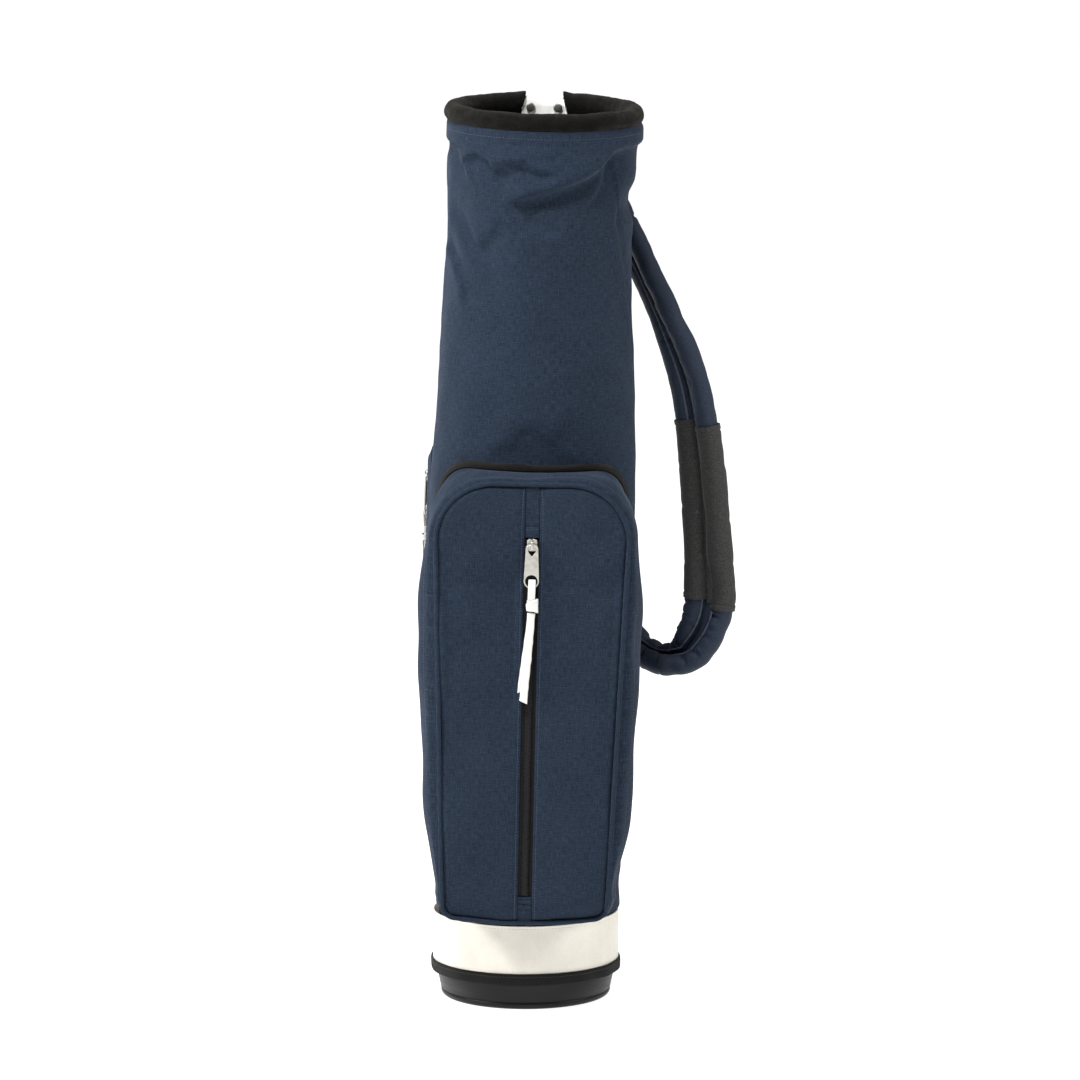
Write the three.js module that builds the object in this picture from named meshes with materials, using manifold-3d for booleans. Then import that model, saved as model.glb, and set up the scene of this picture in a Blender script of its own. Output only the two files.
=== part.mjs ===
// A light golf carry bag: a canvas club tube on a moulded base, with a padded mouth,
// a large front pocket, a flat side pocket and one padded shoulder strap at the back.
// Millimetres, +Z up. The origin is the centre of the flat underside of the base,
// +X is the side that the strap hangs on and -Y is the front, where the big pocket is.
import * as THREE from 'three';
import { mergeVertices } from 'three/addons/utils/BufferGeometryUtils.js';
import Module from 'manifold-3d';

const wasm = await Module();
wasm.setup();

// ---------------------------------------------------------------- driving dimensions
const GAP = 0.4; // clearance between two pieces that touch on the real bag
const CLOTH = 2; // thickness of the lined canvas

const BASE_RADIUS = 84;
const BASE_ROUNDING = 8;
const BASE_WALL = 2.5;
const BASE_FLOOR = 4;
const BASE_RIM = 54; // height of the top edge of the moulded cup, hidden inside the cuff
const CUFF_LOW = 29;
const CUFF_TOP = 86;
const CUFF_RADIUS = 92.2;
const CUFF_WALL = 1.8;
const BINDING_LOW = 26.4;
const BINDING_TOP = 38;

const LEAN = THREE.MathUtils.degToRad(1.2); // the soft tube stands a little over to +X
const LEAN_SHIFT = 2;
const SWAY = 4.5; // how far the middle of the tube hangs back from that leaning line

const TUBE_TAIL = 56; // lower edge of the canvas, inside the cuff
const TUBE_TOP = 870.6;
const TAIL_RADIUS = 87.9;
const TAIL_TOP = 88.6; // above the cuff the canvas steps out over its edge
const STEP_TOP = 90.4;
const BACK_LOW = 91.8; // radius of the tube's back just above the cuff
const BACK_HIGH = 94.6; // and just under the rim roll

const RIM_HEIGHT = 881;
const RIM_CENTRE = 88.7; // radius of the hoop's centre line
const RIM_ROLL = 9.5;
const HOOP_WIRE = 3.4;
const TAB_WIDTH = 38;

const POCKET_SHIFT = -3.6;
const POCKET_FRONT = -149.2;
const POCKET_LOW = 106;
const POCKET_HIGH = 536;
const POCKET_HALF_LOW = 84;
const POCKET_HALF_HIGH = 94;
const SEAM_LOW = 103; // where the gusset is sewn to the tube
const SEAM_HIGH = 538;
const SEAM_HALF = 104; // half its width, measured round the tube
const GUSSET_BULGE = 20;
const PIPING = 2.3;

const ZIP_HALF_GAP = 6.9; // half the width between the two panel edges
const SLIDER_LENGTH = 12;
const SIDE_ZIP_ANGLE = THREE.MathUtils.degToRad(-112); // from the front, just behind the left edge
const SIDE_LOW = 300;
const SIDE_HIGH = 521;
const SIDE_OFF = 6.6; // the side zip stands off the tube, so that its slider clears the cloth

const STRAP_AXIS = 121.5; // distance of the hinge line behind the tube's middle
const STRAP_HIGH = 798; // heights of the two anchors
const STRAP_LOW = 386;
const STRAP_SPACING = 29; // between the centre lines of the two padded tubes
const STRAP_RADIUS = 10;
const GRIP_RADIUS = 12.2;

const ROD_RADIUS = 4;
const ROD_BACK = 81;

const cloth = new THREE.MeshStandardMaterial({ color: 0x2f3a4a, roughness: 0.9 });
const navyStrap = new THREE.MeshStandardMaterial({ color: 0x222d40, roughness: 0.85 });
const blackVelour = new THREE.MeshStandardMaterial({ color: 0x202020, roughness: 1 });
const blackTape = new THREE.MeshStandardMaterial({ color: 0x1d1c1c, roughness: 0.9 });
const blackGrip = new THREE.MeshStandardMaterial({ color: 0x2f2f2f, roughness: 0.75 });
const blackPlastic = new THREE.MeshStandardMaterial({ color: 0x2d2d2c, roughness: 0.5 });
const whiteVinyl = new THREE.MeshStandardMaterial({ color: 0xdeded4, roughness: 0.55 });
const lace = new THREE.MeshStandardMaterial({ color: 0xebebe6, roughness: 0.7 });
const zipTape = new THREE.MeshStandardMaterial({ color: 0x202121, roughness: 0.9 });
const zipCoil = new THREE.MeshStandardMaterial({ color: 0x161616, roughness: 0.5 });
const nickel = new THREE.MeshStandardMaterial({ color: 0xc4c1b7, roughness: 0.3, metalness: 1 });
const gunmetal = new THREE.MeshStandardMaterial({ color: 0x55544f, roughness: 0.4, metalness: 1 });
const fibreglass = new THREE.MeshStandardMaterial({ color: 0xb9b59c, roughness: 0.5 });
const springWire = new THREE.MeshStandardMaterial({ color: 0x8b8d90, roughness: 0.4, metalness: 1 });

// ---------------------------------------------------------------- the scene graph
const bag = new THREE.Group();
bag.name = 'golf_carry_bag';

// Everything above the cuff leans; heights inside this group are still counted from the floor.
const leaning = new THREE.Group();
leaning.position.set(LEAN_SHIFT, 0, CUFF_TOP);
leaning.rotation.y = LEAN;
const upper = new THREE.Group();
upper.position.z = -CUFF_TOP;
leaning.add(upper);
bag.add(leaning);

const pocket = new THREE.Group();
pocket.position.x = POCKET_SHIFT;
upper.add(pocket);

function piece(parent, name, geometry, material) {
  const mesh = new THREE.Mesh(geometry, material);
  mesh.name = name;
  parent.add(mesh);
  return mesh;
}

// ---------------------------------------------------------------- shape helpers
const point = (x, y, z) => new THREE.Vector3(x, y, z);

// The same solid with merged corners and its faces pointing out.
function closed(geometry) {
  const source = geometry.clone();
  source.deleteAttribute('uv');
  source.deleteAttribute('normal');
  const solid = mergeVertices(source, 1e-4);
  const { array } = solid.attributes.position;
  const kept = [];
  let volume = 0;
  for (let i = 0; i < solid.index.count; i += 3) {
    const [a, b, c] = [0, 1, 2].map((k) => solid.index.getX(i + k));
    if (a !== b && b !== c && c !== a) {
      const [p, q, r] = [a, b, c].map((k) => new THREE.Vector3().fromArray(array, 3 * k));
      volume += p.dot(q.cross(r));
      kept.push([a, b, c]);
    }
  }
  solid.setIndex(kept.flatMap(([a, b, c]) => (volume < 0 ? [a, c, b] : [a, b, c])));
  return solid;
}

function toManifold(geometry) {
  const solid = closed(geometry);
  return new wasm.Manifold(new wasm.Mesh({
    numProp: 3,
    vertProperties: new Float32Array(solid.attributes.position.array),
    triVerts: new Uint32Array(solid.index.array),
  }));
}

function fromManifold(manifold) {
  const mesh = manifold.getMesh();
  const geometry = new THREE.BufferGeometry();
  geometry.setAttribute('position', new THREE.BufferAttribute(mesh.vertProperties, 3));
  geometry.setIndex(new THREE.BufferAttribute(mesh.triVerts, 1));
  return geometry;
}

const join = (...parts) => fromManifold(parts.map(toManifold).reduce((all, next) => all.add(next)));

function cut(geometry, ...tools) {
  const cutters = tools.map(toManifold);
  return fromManifold(cutters.reduce((left, cutter) => left.subtract(cutter), toManifold(geometry)));
}

function box(low, high, segments = 1) {
  const size = high.clone().sub(low);
  const middle = high.clone().add(low).multiplyScalar(0.5);
  const geometry = new THREE.BoxGeometry(size.x, size.y, size.z, segments, 1, 1);
  return geometry.translate(middle.x, middle.y, middle.z);
}

// A solid of revolution about Z from [radius, height] points.
function turned(profile, segments) {
  const points = profile.map(([radius, height]) => new THREE.Vector2(radius, height));
  return closed(new THREE.LatheGeometry(points, segments).rotateX(Math.PI / 2));
}

// A band of revolution: the profile closes on itself.
const ring = (profile, segments) => turned([...profile, profile[0]], segments);

function hollowCylinder(inner, outer, low, high, segments) {
  return ring([[inner, low], [outer, low], [outer, high], [inner, high]], segments);
}

// A closed solid through a row of outlines that have the same number of points.
function loft(outlines, looped = false) {
  const count = outlines[0].length;
  const rows = outlines.length;
  const index = [];
  for (let i = 0; i < (looped ? rows : rows - 1); i += 1) {
    for (let j = 0; j < count; j += 1) {
      const here = i * count;
      const next = ((i + 1) % rows) * count;
      const side = (j + 1) % count;
      index.push(here + j, here + side, next + side, here + j, next + side, next + j);
    }
  }
  for (let j = 1; !looped && j < count - 1; j += 1) {
    const last = (rows - 1) * count;
    index.push(0, j + 1, j, last, last + j, last + j + 1);
  }
  const geometry = new THREE.BufferGeometry().setFromPoints(outlines.flat());
  geometry.setIndex(index);
  return closed(geometry);
}

// A path's corners, each one once.
function corners(path, divisions = 8) {
  const points = path.getPoints(divisions);
  return points.filter((p, i) => p.distanceTo(points[(i + points.length - 1) % points.length]) > 1e-3);
}

// A flat outline with its holes, given depth along +Z in a number of steps.
function extruded(shape, depth, steps = 1) {
  const points = corners(shape);
  // three.js turns the holes the right way only for an outline that runs counter-clockwise
  const outline = new THREE.Shape(THREE.ShapeUtils.isClockWise(points) ? points.reverse() : points);
  outline.holes = shape.holes.map((hole) => new THREE.Path(corners(hole)));
  return new THREE.ExtrudeGeometry(outline, { depth, steps, bevelEnabled: false });
}

// A flat outline in the X-Z plane, given thickness from one Y to another.
function plate(shape, low, high) {
  return closed(extruded(shape, high - low).rotateX(Math.PI / 2).translate(0, high, 0));
}

// A flat outline in the X-Y plane, given height from one Z to another.
function block(shape, low, high) {
  return closed(extruded(shape, high - low).translate(0, 0, low));
}

// A profile in the Y-Z plane, given width along X in several steps, so that it can be wrapped.
function strip(shape, width, steps) {
  const geometry = extruded(shape, width, steps);
  // (shape x, shape y, depth) becomes (Y, Z, X)
  const turn = new THREE.Matrix4().makeBasis(point(0, 1, 0), point(0, 0, 1), point(1, 0, 0));
  return closed(geometry.applyMatrix4(turn).translate(-width / 2, 0, 0));
}

// Wraps a piece that stands off the tube's back round the tube: Y becomes the radius.
function wrapped(geometry, radius) {
  const { position } = geometry.attributes;
  for (let i = 0; i < position.count; i += 1) {
    const angle = position.getX(i) / radius;
    const reach = position.getY(i);
    position.setX(i, reach * Math.sin(angle));
    position.setY(i, reach * Math.cos(angle));
  }
  return geometry;
}

const polygon = (points) => new THREE.Shape(points.map(([x, y]) => new THREE.Vector2(x, y)));

function circle(x, y, radius) {
  const path = new THREE.Path();
  path.absarc(x, y, radius, 0, 2 * Math.PI, true);
  return path;
}

// The value at a height of an outline given as [height, value] points.
function along(outline, height) {
  const k = Math.max(1, outline.findIndex(([h]) => h >= height));
  const [h0, v0] = outline[k - 1];
  const [h1, v1] = outline[k];
  return THREE.MathUtils.lerp(v0, v1, THREE.MathUtils.clamp((height - h0) / (h1 - h0), 0, 1));
}

// ---------------------------------------------------------------- the canvas tube's outer surface
const HALF_WIDTH = [
  [TUBE_TAIL, TAIL_RADIUS], [TAIL_TOP, TAIL_RADIUS], [STEP_TOP, 91.8], [130, 93.4], [200, 96.5],
  [300, 99.5], [464, 102], [585, 98], [700, 93.4], [781, 91], [840, 93], [TUBE_TOP, 94.6],
];

function backRadius(height) {
  if (height < TAIL_TOP + 0.1) {
    return TAIL_RADIUS;
  }
  return BACK_LOW + (BACK_HIGH - BACK_LOW) * (height - CUFF_TOP) / (TUBE_TOP - CUFF_TOP);
}

const sway = (height) => -SWAY * Math.sin(Math.PI * Math.max(0, height - CUFF_TOP) / (TUBE_TOP - CUFF_TOP));

// The point on the tube at an angle from the front (towards +X), at a distance off the cloth.
function onTube(angle, height, off = 0) {
  const wide = along(HALF_WIDTH, height) + off;
  const deep = backRadius(height) + off;
  return point(sway(height) + wide * Math.sin(angle), -deep * Math.cos(angle), height);
}

const sideFace = onTube(SIDE_ZIP_ANGLE, (SIDE_LOW + SIDE_HIGH) / 2, SIDE_OFF);

// ---------------------------------------------------------------- base, cuff and binding
function baseBoot() {
  const rounding = [];
  for (let i = 0; i <= 3; i += 1) {
    const angle = (i / 3) * (Math.PI / 2);
    rounding.push([
      BASE_RADIUS - BASE_ROUNDING + BASE_ROUNDING * Math.sin(angle),
      BASE_ROUNDING - BASE_ROUNDING * Math.cos(angle),
    ]);
  }
  const inner = BASE_RADIUS - BASE_WALL;
  return turned([
    [0, 0], ...rounding, [BASE_RADIUS, BINDING_LOW - 1], [BASE_RADIUS + 0.9, BINDING_LOW],
    [BASE_RADIUS + 0.9, BASE_RIM], [inner, BASE_RIM], [inner, BASE_FLOOR + 4],
    [inner - 4, BASE_FLOOR], [0, BASE_FLOOR],
  ], 40);
}

// The binding folds round the cuff's lower edge.
function cuffBinding() {
  const cuffInner = CUFF_RADIUS - CUFF_WALL;
  return ring([
    [cuffInner - 2.2, BINDING_LOW], [CUFF_RADIUS + 1.6, BINDING_LOW], [CUFF_RADIUS + 1.6, BINDING_TOP],
    [CUFF_RADIUS + GAP, BINDING_TOP], [CUFF_RADIUS + GAP, CUFF_LOW - GAP],
    [cuffInner - GAP, CUFF_LOW - GAP], [cuffInner - GAP, BINDING_TOP - 2], [cuffInner - 2.2, BINDING_TOP - 2],
  ], 40);
}

piece(bag, 'base_boot', baseBoot(), blackPlastic);
const cuffBand = hollowCylinder(CUFF_RADIUS - CUFF_WALL, CUFF_RADIUS, CUFF_LOW, CUFF_TOP, 40);
piece(bag, 'cuff_band', cuffBand, whiteVinyl);
piece(bag, 'cuff_binding', cuffBinding(), blackTape);

// ---------------------------------------------------------------- club tube, liner and rim
// The side pocket's mouth is slit through its wall.
function bodyTube() {
  const heights = [STEP_TOP, 130, 200, 300, 464, 585, 700, 781, 840, TUBE_TOP];
  const wall = heights.map((height) => [backRadius(height), height]);
  const outer = [[TAIL_RADIUS, TUBE_TAIL], [TAIL_RADIUS, TAIL_TOP], ...wall];
  const inner = outer.map(([radius, height]) => [radius - CLOTH, height]).reverse();
  const tube = ring([...outer, ...inner], 40);
  const { position } = tube.attributes;
  for (let i = 0; i < position.count; i += 1) {
    const height = position.getZ(i);
    const stretch = along(HALF_WIDTH, height) / backRadius(height);
    position.setX(i, sway(height) + position.getX(i) * stretch);
  }
  const slot = box(point(-ZIP_HALF_GAP, 0, SIDE_LOW), point(ZIP_HALF_GAP, 20, SIDE_HIGH));
  return cut(tube, slot.rotateZ(SIDE_ZIP_ANGLE).translate(sideFace.x, sideFace.y, 0));
}

// The velour roll is slit below, where its two edges are sewn down, and notched for the tab.
function rimPad() {
  const slit = 0.16;
  const around = 9;
  const arc = (radius, from, to) => Array.from({ length: around + 1 }, (_, i) => {
    const angle = from + (to - from) * (i / around);
    return [RIM_CENTRE + radius * Math.sin(angle), RIM_HEIGHT - radius * Math.cos(angle)];
  });
  const roll = ring([
    ...arc(RIM_ROLL, slit, 2 * Math.PI - slit),
    ...arc(HOOP_WIRE + 0.6, 2 * Math.PI - 2 * slit, 2 * slit),
  ], 36);
  const notch = TAB_WIDTH / 2 + 2.4;
  return cut(roll, box(point(-notch, 60, RIM_HEIGHT - 20), point(notch, 110, RIM_HEIGHT + 20)));
}

function rimHoop() {
  return closed(new THREE.TorusGeometry(RIM_CENTRE, HOOP_WIRE, 6, 36).translate(0, 0, RIM_HEIGHT));
}

// The tab runs up the back, over the hoop and down inside, where it widens.
function topTab() {
  const wire = HOOP_WIRE + 1.1;
  const leather = 1.7;
  const outerLeg = RIM_CENTRE + wire + 2.6;
  const innerLeg = RIM_CENTRE - wire;
  const low = 838;
  const tongue = 852;
  const shape = new THREE.Shape();
  shape.moveTo(outerLeg, low);
  shape.lineTo(outerLeg + leather, low);
  shape.lineTo(outerLeg + leather, RIM_HEIGHT);
  shape.lineTo(RIM_CENTRE + 3, RIM_HEIGHT + wire + leather);
  shape.lineTo(RIM_CENTRE - 3, RIM_HEIGHT + wire + leather);
  shape.lineTo(innerLeg - leather, RIM_HEIGHT + 1);
  shape.lineTo(innerLeg - leather, tongue);
  shape.lineTo(innerLeg, tongue);
  shape.lineTo(innerLeg, RIM_HEIGHT);
  shape.lineTo(RIM_CENTRE - 2, RIM_HEIGHT + wire);
  shape.lineTo(RIM_CENTRE + 3, RIM_HEIGHT + wire);
  shape.lineTo(outerLeg, RIM_HEIGHT);
  const tab = strip(shape, TAB_WIDTH, 6);
  const { position } = tab.attributes;
  for (let i = 0; i < position.count; i += 1) {
    const widens = position.getZ(i) < RIM_HEIGHT - 20 && position.getY(i) < RIM_CENTRE;
    position.setX(i, position.getX(i) * (widens ? 1.35 : 1));
  }
  return wrapped(tab, RIM_CENTRE);
}

function rivet(radius, length) {
  return new THREE.CylinderGeometry(radius, radius, length, 14);
}

function throatLiner() {
  return hollowCylinder(84.8, 86, 760, TUBE_TOP - 0.4, 36);
}

piece(upper, 'body_tube', bodyTube(), cloth);
piece(upper, 'throat_liner', throatLiner(), blackVelour);
piece(upper, 'rim_pad', rimPad(), blackVelour);
piece(upper, 'rim_hoop', rimHoop(), springWire);
piece(upper, 'top_tab', topTab(), whiteVinyl);
for (const [side, name] of [[-1, 'left'], [1, 'right']]) {
  const mesh = piece(upper, `tab_rivet_${name}`, closed(rivet(4.4, 1.6)), gunmetal);
  const angle = side * 12.5 / 82;
  const reach = RIM_CENTRE - HOOP_WIRE - 1.1 - 1.7 - GAP - 0.8;
  mesh.position.set(reach * Math.sin(angle), reach * Math.cos(angle), RIM_HEIGHT - 4.8);
  mesh.rotation.z = -angle;
}

// ---------------------------------------------------------------- the stiff spine up the back
const SLEEVE_INNER = ROD_RADIUS + 0.5;
const ROD_LOW = BASE_RIM + 2.2; // the rod's foot stands on the rim of the base
const ROD_HIGH = 756;
piece(upper, 'spine_rod', closed(new THREE.CylinderGeometry(ROD_RADIUS, ROD_RADIUS, ROD_HIGH - ROD_LOW, 12)
  .rotateX(Math.PI / 2).translate(sway(ROD_HIGH / 2) / 2, ROD_BACK, (ROD_HIGH + ROD_LOW) / 2)), fibreglass);
piece(upper, 'spine_sleeve', hollowCylinder(SLEEVE_INNER, SLEEVE_INNER + 1.4, 96, 740, 12)
  .translate(sway(ROD_HIGH / 2) / 2, ROD_BACK, 0), cloth);

// The white strip covers the seam where the rod is sewn in.
const STRIP_OFF = 0.5;
const STRIP_THICK = 1.6;
const STRIP_HALF = 19;
function spineStrip() {
  const low = 92;
  const high = 836;
  const across = 6;
  const outline = (height) => {
    const side = (off, k) => {
      const radius = backRadius(height) + off;
      const angle = (k / radius) * STRIP_HALF;
      return point(radius * Math.sin(angle), radius * Math.cos(angle), height);
    };
    const ks = Array.from({ length: across + 1 }, (_, i) => -1 + (2 * i) / across);
    const near = ks.map((k) => side(STRIP_OFF, k));
    const far = ks.map((k) => side(STRIP_OFF + STRIP_THICK, k)).reverse();
    for (const p of [...near, ...far]) {
      p.x += sway(height);
    }
    return [...near, ...far];
  };
  return loft([low, 160, 240, 330, 430, 530, 630, 730, 790, high].map(outline));
}
piece(upper, 'spine_strip', spineStrip(), whiteVinyl);
const onStrip = (height, off) => backRadius(height) + STRIP_OFF + STRIP_THICK + GAP + off;

// The haul handle is a leather strap that bows out from the strip.
function haulHandle() {
  const low = 560;
  const high = 706;
  const thick = 3;
  const foot = onStrip(high, 0);
  const rise = 25;
  const shape = new THREE.Shape();
  shape.moveTo(foot, low);
  shape.lineTo(foot + thick, low);
  shape.lineTo(foot + thick, low + 20);
  const crest = foot + thick + rise * 1.1;
  shape.bezierCurveTo(crest, low + 32, crest, high - 32, foot + thick, high - 20);
  shape.lineTo(foot + thick, high);
  shape.lineTo(foot, high);
  shape.lineTo(foot, high - 21);
  shape.bezierCurveTo(foot + rise, high - 36, foot + rise, low + 36, foot, low + 21);
  return wrapped(strip(shape, 30, 4), foot).translate(sway(633), 0, 0);
}
piece(upper, 'haul_handle', haulHandle(), whiteVinyl);
for (const [height, name] of [[570, 'lower'], [696, 'upper']]) {
  const stud = piece(upper, `handle_rivet_${name}`, closed(rivet(4.5, 1.8)), gunmetal);
  stud.position.set(sway(633), onStrip(706, 3 + GAP + 0.9), height);
}

// ---------------------------------------------------------------- strap anchors
const RING_WIRE = 2.5;
const RING_HALF = 16; // half the ring's height between wire centres
const ANCHOR_BAR = STRAP_AXIS - 19.3; // the ring's inner bar
const LOOP_CLEAR = 0.7;
const PATCH = 2.4;
const TONGUE = 23; // reach of the strap's end from the hinge line

// A rectangular wire ring that stands straight out of the spine.
function anchorRing(height) {
  const corner = 4;
  const outline = new THREE.Shape();
  const [y0, y1, z0, z1] = [ANCHOR_BAR, STRAP_AXIS, height - RING_HALF, height + RING_HALF];
  outline.moveTo(y0 + corner, z0);
  outline.lineTo(y1 - corner, z0);
  outline.absarc(y1 - corner, z0 + corner, corner, -Math.PI / 2, 0, false);
  outline.lineTo(y1, z1 - corner);
  outline.absarc(y1 - corner, z1 - corner, corner, 0, Math.PI / 2, false);
  outline.lineTo(y0 + corner, z1);
  outline.absarc(y0 + corner, z1 - corner, corner, Math.PI / 2, Math.PI, false);
  outline.lineTo(y0, z0 + corner);
  outline.absarc(y0 + corner, z0 + corner, corner, Math.PI, 1.5 * Math.PI, false);
  const stations = corners(outline, 2);
  const sections = stations.map((here, i) => {
    const before = stations[(i + stations.length - 1) % stations.length];
    const after = stations[(i + 1) % stations.length];
    const out = new THREE.Vector2(after.y - before.y, before.x - after.x).normalize();
    return Array.from({ length: 6 }, (_, k) => {
      const angle = (k / 6) * 2 * Math.PI;
      const reach = RING_WIRE * Math.cos(angle);
      return point(RING_WIRE * Math.sin(angle), here.x + out.x * reach, here.y + out.y * reach);
    });
  });
  return loft(sections, true);
}

// A patch of webbing riveted over the strip, with a fold that holds the ring's inner bar.
function anchorPatch(height) {
  const low = height - 12;
  const high = height + 12;
  const inside = onStrip(height, 0);
  const patch = wrapped(box(point(-19, inside, low), point(19, inside + PATCH, high), 6), inside);
  const fold = new THREE.Shape();
  fold.absarc(0, ANCHOR_BAR, RING_WIRE + LOOP_CLEAR + 1.8, 0, 2 * Math.PI, false);
  fold.holes.push(circle(0, ANCHOR_BAR, RING_WIRE + LOOP_CLEAR));
  return join(patch.translate(sway(height), 0, 0), block(fold, low, high));
}

// The strap's end: webbing folded round the ring's outer bar, with a tongue into the padding.
function strapTail(height) {
  const outer = RING_WIRE + LOOP_CLEAR + 2.2;
  const fold = new THREE.Shape();
  fold.absarc(0, STRAP_AXIS, outer, 0.35, 2 * Math.PI - 0.35, false);
  fold.lineTo(TONGUE, STRAP_AXIS + 0.6);
  fold.lineTo(TONGUE, STRAP_AXIS + 4);
  fold.holes.push(circle(0, STRAP_AXIS, RING_WIRE + LOOP_CLEAR));
  return block(fold, height - 12, height + 12);
}

for (const [height, name] of [[STRAP_HIGH, 'upper'], [STRAP_LOW, 'lower']]) {
  piece(upper, `anchor_patch_${name}`, anchorPatch(height), blackTape);
  piece(upper, `anchor_ring_${name}`, anchorRing(height), nickel);
  piece(upper, `strap_tail_${name}`, strapTail(height), blackTape);
  for (const [side, hand] of [[-1, 'left'], [1, 'right']]) {
    const angle = side * 13 / onStrip(height, 0);
    const reach = onStrip(height, PATCH + GAP + 0.8);
    const stud = piece(upper, `anchor_rivet_${name}_${hand}`, closed(rivet(3.8, 1.6)), gunmetal);
    stud.position.set(sway(height) + reach * Math.sin(angle), reach * Math.cos(angle), height);
    stud.rotation.z = -angle;
  }
}

// ---------------------------------------------------------------- padded shoulder strap
// Points on the line midway between the two padded tubes, from the upper anchor round to the
// lower one, each with the direction from the inner tube to the outer tube.
const STRAP_LINE = [
  { at: [31, 124.5, 796], out: [0.1, -0.1, 1] },
  { at: [58, 117, 781], out: [0.4, -0.5, 0.75] },
  { at: [81, 104, 755], out: [0.4, -0.85, 0.3] },
  { at: [103, 91, 715], out: [0.35, -0.93, 0.1] },
  { at: [126, 82, 667], out: [0.45, -0.9, 0.1] },
  { at: [149, 77, 608], out: [0.67, -0.74, 0] },
  { at: [161, 75, 548], out: [0.71, -0.7, 0] },
  { at: [168, 75, 487], out: [0.76, -0.65, 0] },
  { at: [173, 75, 427], out: [0.83, -0.56, 0] },
  { at: [175, 76, 389], out: [0.95, -0.31, -0.05] },
  { at: [172, 77, 366], out: [0.93, -0.36, -0.05] },
  { at: [161, 80, 342], out: [0.78, -0.62, -0.1] },
  { at: [152, 84, 331], out: [0.62, -0.78, -0.05] },
  { at: [135, 92, 323.5], out: [0.32, -0.94, -0.1] },
  { at: [116, 104, 325], out: [0, -0.99, -0.15] },
  { at: [78, 120, 352], out: [-0.3, -0.75, -0.6] },
  { at: [32, 124.5, 383], out: [-0.1, -0.1, -1] },
];
const STRAP_STEPS = 30;
const TUBE_SIDES = 10;
const strapMiddle = new THREE.CatmullRomCurve3(STRAP_LINE.map(({ at }) => point(...at)));
const strapOut = new THREE.CatmullRomCurve3(STRAP_LINE.map(({ out }) => point(...out)));

// The strap's middle, its direction and the square direction to the outer tube, at 0 to 1 along it.
function strapFrame(t) {
  const middle = strapMiddle.getPoint(t);
  const forward = strapMiddle.getTangent(t);
  const out = strapOut.getPoint(t);
  out.addScaledVector(forward, -out.dot(forward)).normalize();
  return { middle, out, face: new THREE.Vector3().crossVectors(forward, out) };
}

// A round sleeve or solid tube beside the strap's middle line; side is 1 outer, -1 inner.
function strapTube(side, radius, from, to, steps, taper) {
  const centre = (t) => {
    const { middle, out } = strapFrame(t);
    return middle.addScaledVector(out, side * STRAP_SPACING / 2);
  };
  const sections = [];
  for (let i = 0; i <= steps; i += 1) {
    const t = from + (to - from) * (i / steps);
    const here = centre(t);
    const forward = centre(Math.min(1, t + 0.004)).sub(centre(Math.max(0, t - 0.004))).normalize();
    const { face } = strapFrame(t);
    face.addScaledVector(forward, -face.dot(forward)).normalize();
    const across = new THREE.Vector3().crossVectors(face, forward);
    const thin = taper && (i === 0 || i === steps) ? 0.55 : 1;
    sections.push(Array.from({ length: TUBE_SIDES }, (_, k) => {
      const angle = (k / TUBE_SIDES) * 2 * Math.PI;
      return here.clone()
        .addScaledVector(across, thin * radius * Math.cos(angle))
        .addScaledVector(face, thin * radius * Math.sin(angle));
    }));
  }
  return sections;
}

// The flat web that joins the two tubes.
function strapWeb() {
  const half = STRAP_SPACING / 2 - GRIP_RADIUS - GAP;
  const sections = [];
  for (let i = 1; i < STRAP_STEPS; i += 1) {
    const { middle, out, face } = strapFrame(i / STRAP_STEPS);
    sections.push([[-1, -1], [1, -1], [1, 1], [-1, 1]].map(([a, b]) => middle.clone()
      .addScaledVector(out, a * half)
      .addScaledVector(face, b * 1.5)));
  }
  return loft(sections);
}

const GRIPS = { front: [0.36, 0.588], rear: [0.353, 0.566] };
for (const [side, name] of [[1, 'front'], [-1, 'rear']]) {
  const [from, to] = GRIPS[name];
  piece(upper, `strap_tube_${name}`, loft(strapTube(side, STRAP_RADIUS, 0, 1, STRAP_STEPS, true)), navyStrap);
  const shell = strapTube(side, GRIP_RADIUS, from, to, 8, false);
  const bore = strapTube(side, STRAP_RADIUS + 2 * GAP, from, to, 8, false).reverse();
  piece(upper, `grip_sleeve_${name}`, loft([...shell, ...bore], true), blackGrip);
}
piece(upper, 'strap_web', strapWeb(), navyStrap);

// ---------------------------------------------------------------- front pocket
// Half of a rounded outline, from the middle of its lower edge round to the middle of its top,
// as points with outward directions. The same counts on every outline let two of them be lofted.
function halfOutline(halfLow, halfHigh, low, high, lowRadius, topRadius) {
  const rows = [];
  const tilt = Math.atan2(halfHigh - halfLow, high - low);
  const run = (x0, z0, x1, z1, count, nx, nz) => {
    for (let i = 0; i < count; i += 1) {
      rows.push({ x: x0 + (x1 - x0) * (i / count), z: z0 + (z1 - z0) * (i / count), nx, nz });
    }
  };
  const arc = (cx, cz, radius, from, to, count) => {
    for (let i = 0; i < count; i += 1) {
      const angle = from + (to - from) * (i / count);
      const [nx, nz] = [Math.sin(angle), -Math.cos(angle)];
      rows.push({ x: cx + radius * nx, z: cz + radius * nz, nx, nz });
    }
  };
  const side = Math.PI / 2 - tilt;
  const lowX = halfLow - lowRadius;
  const topX = halfHigh - topRadius;
  run(0, low, lowX, low, 6, 0, -1);
  arc(lowX, low + lowRadius, lowRadius, 0, side, 3);
  run(
    lowX + lowRadius * Math.cos(tilt), low + lowRadius, topX + topRadius * Math.cos(tilt), high - topRadius,
    7, Math.cos(tilt), -Math.sin(tilt),
  );
  arc(topX, high - topRadius, topRadius, side, Math.PI, 6);
  run(topX, high, 0, high, 4, 0, 1);
  rows.push({ x: 0, z: high, nx: 0, nz: 1 });
  return rows;
}

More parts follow.
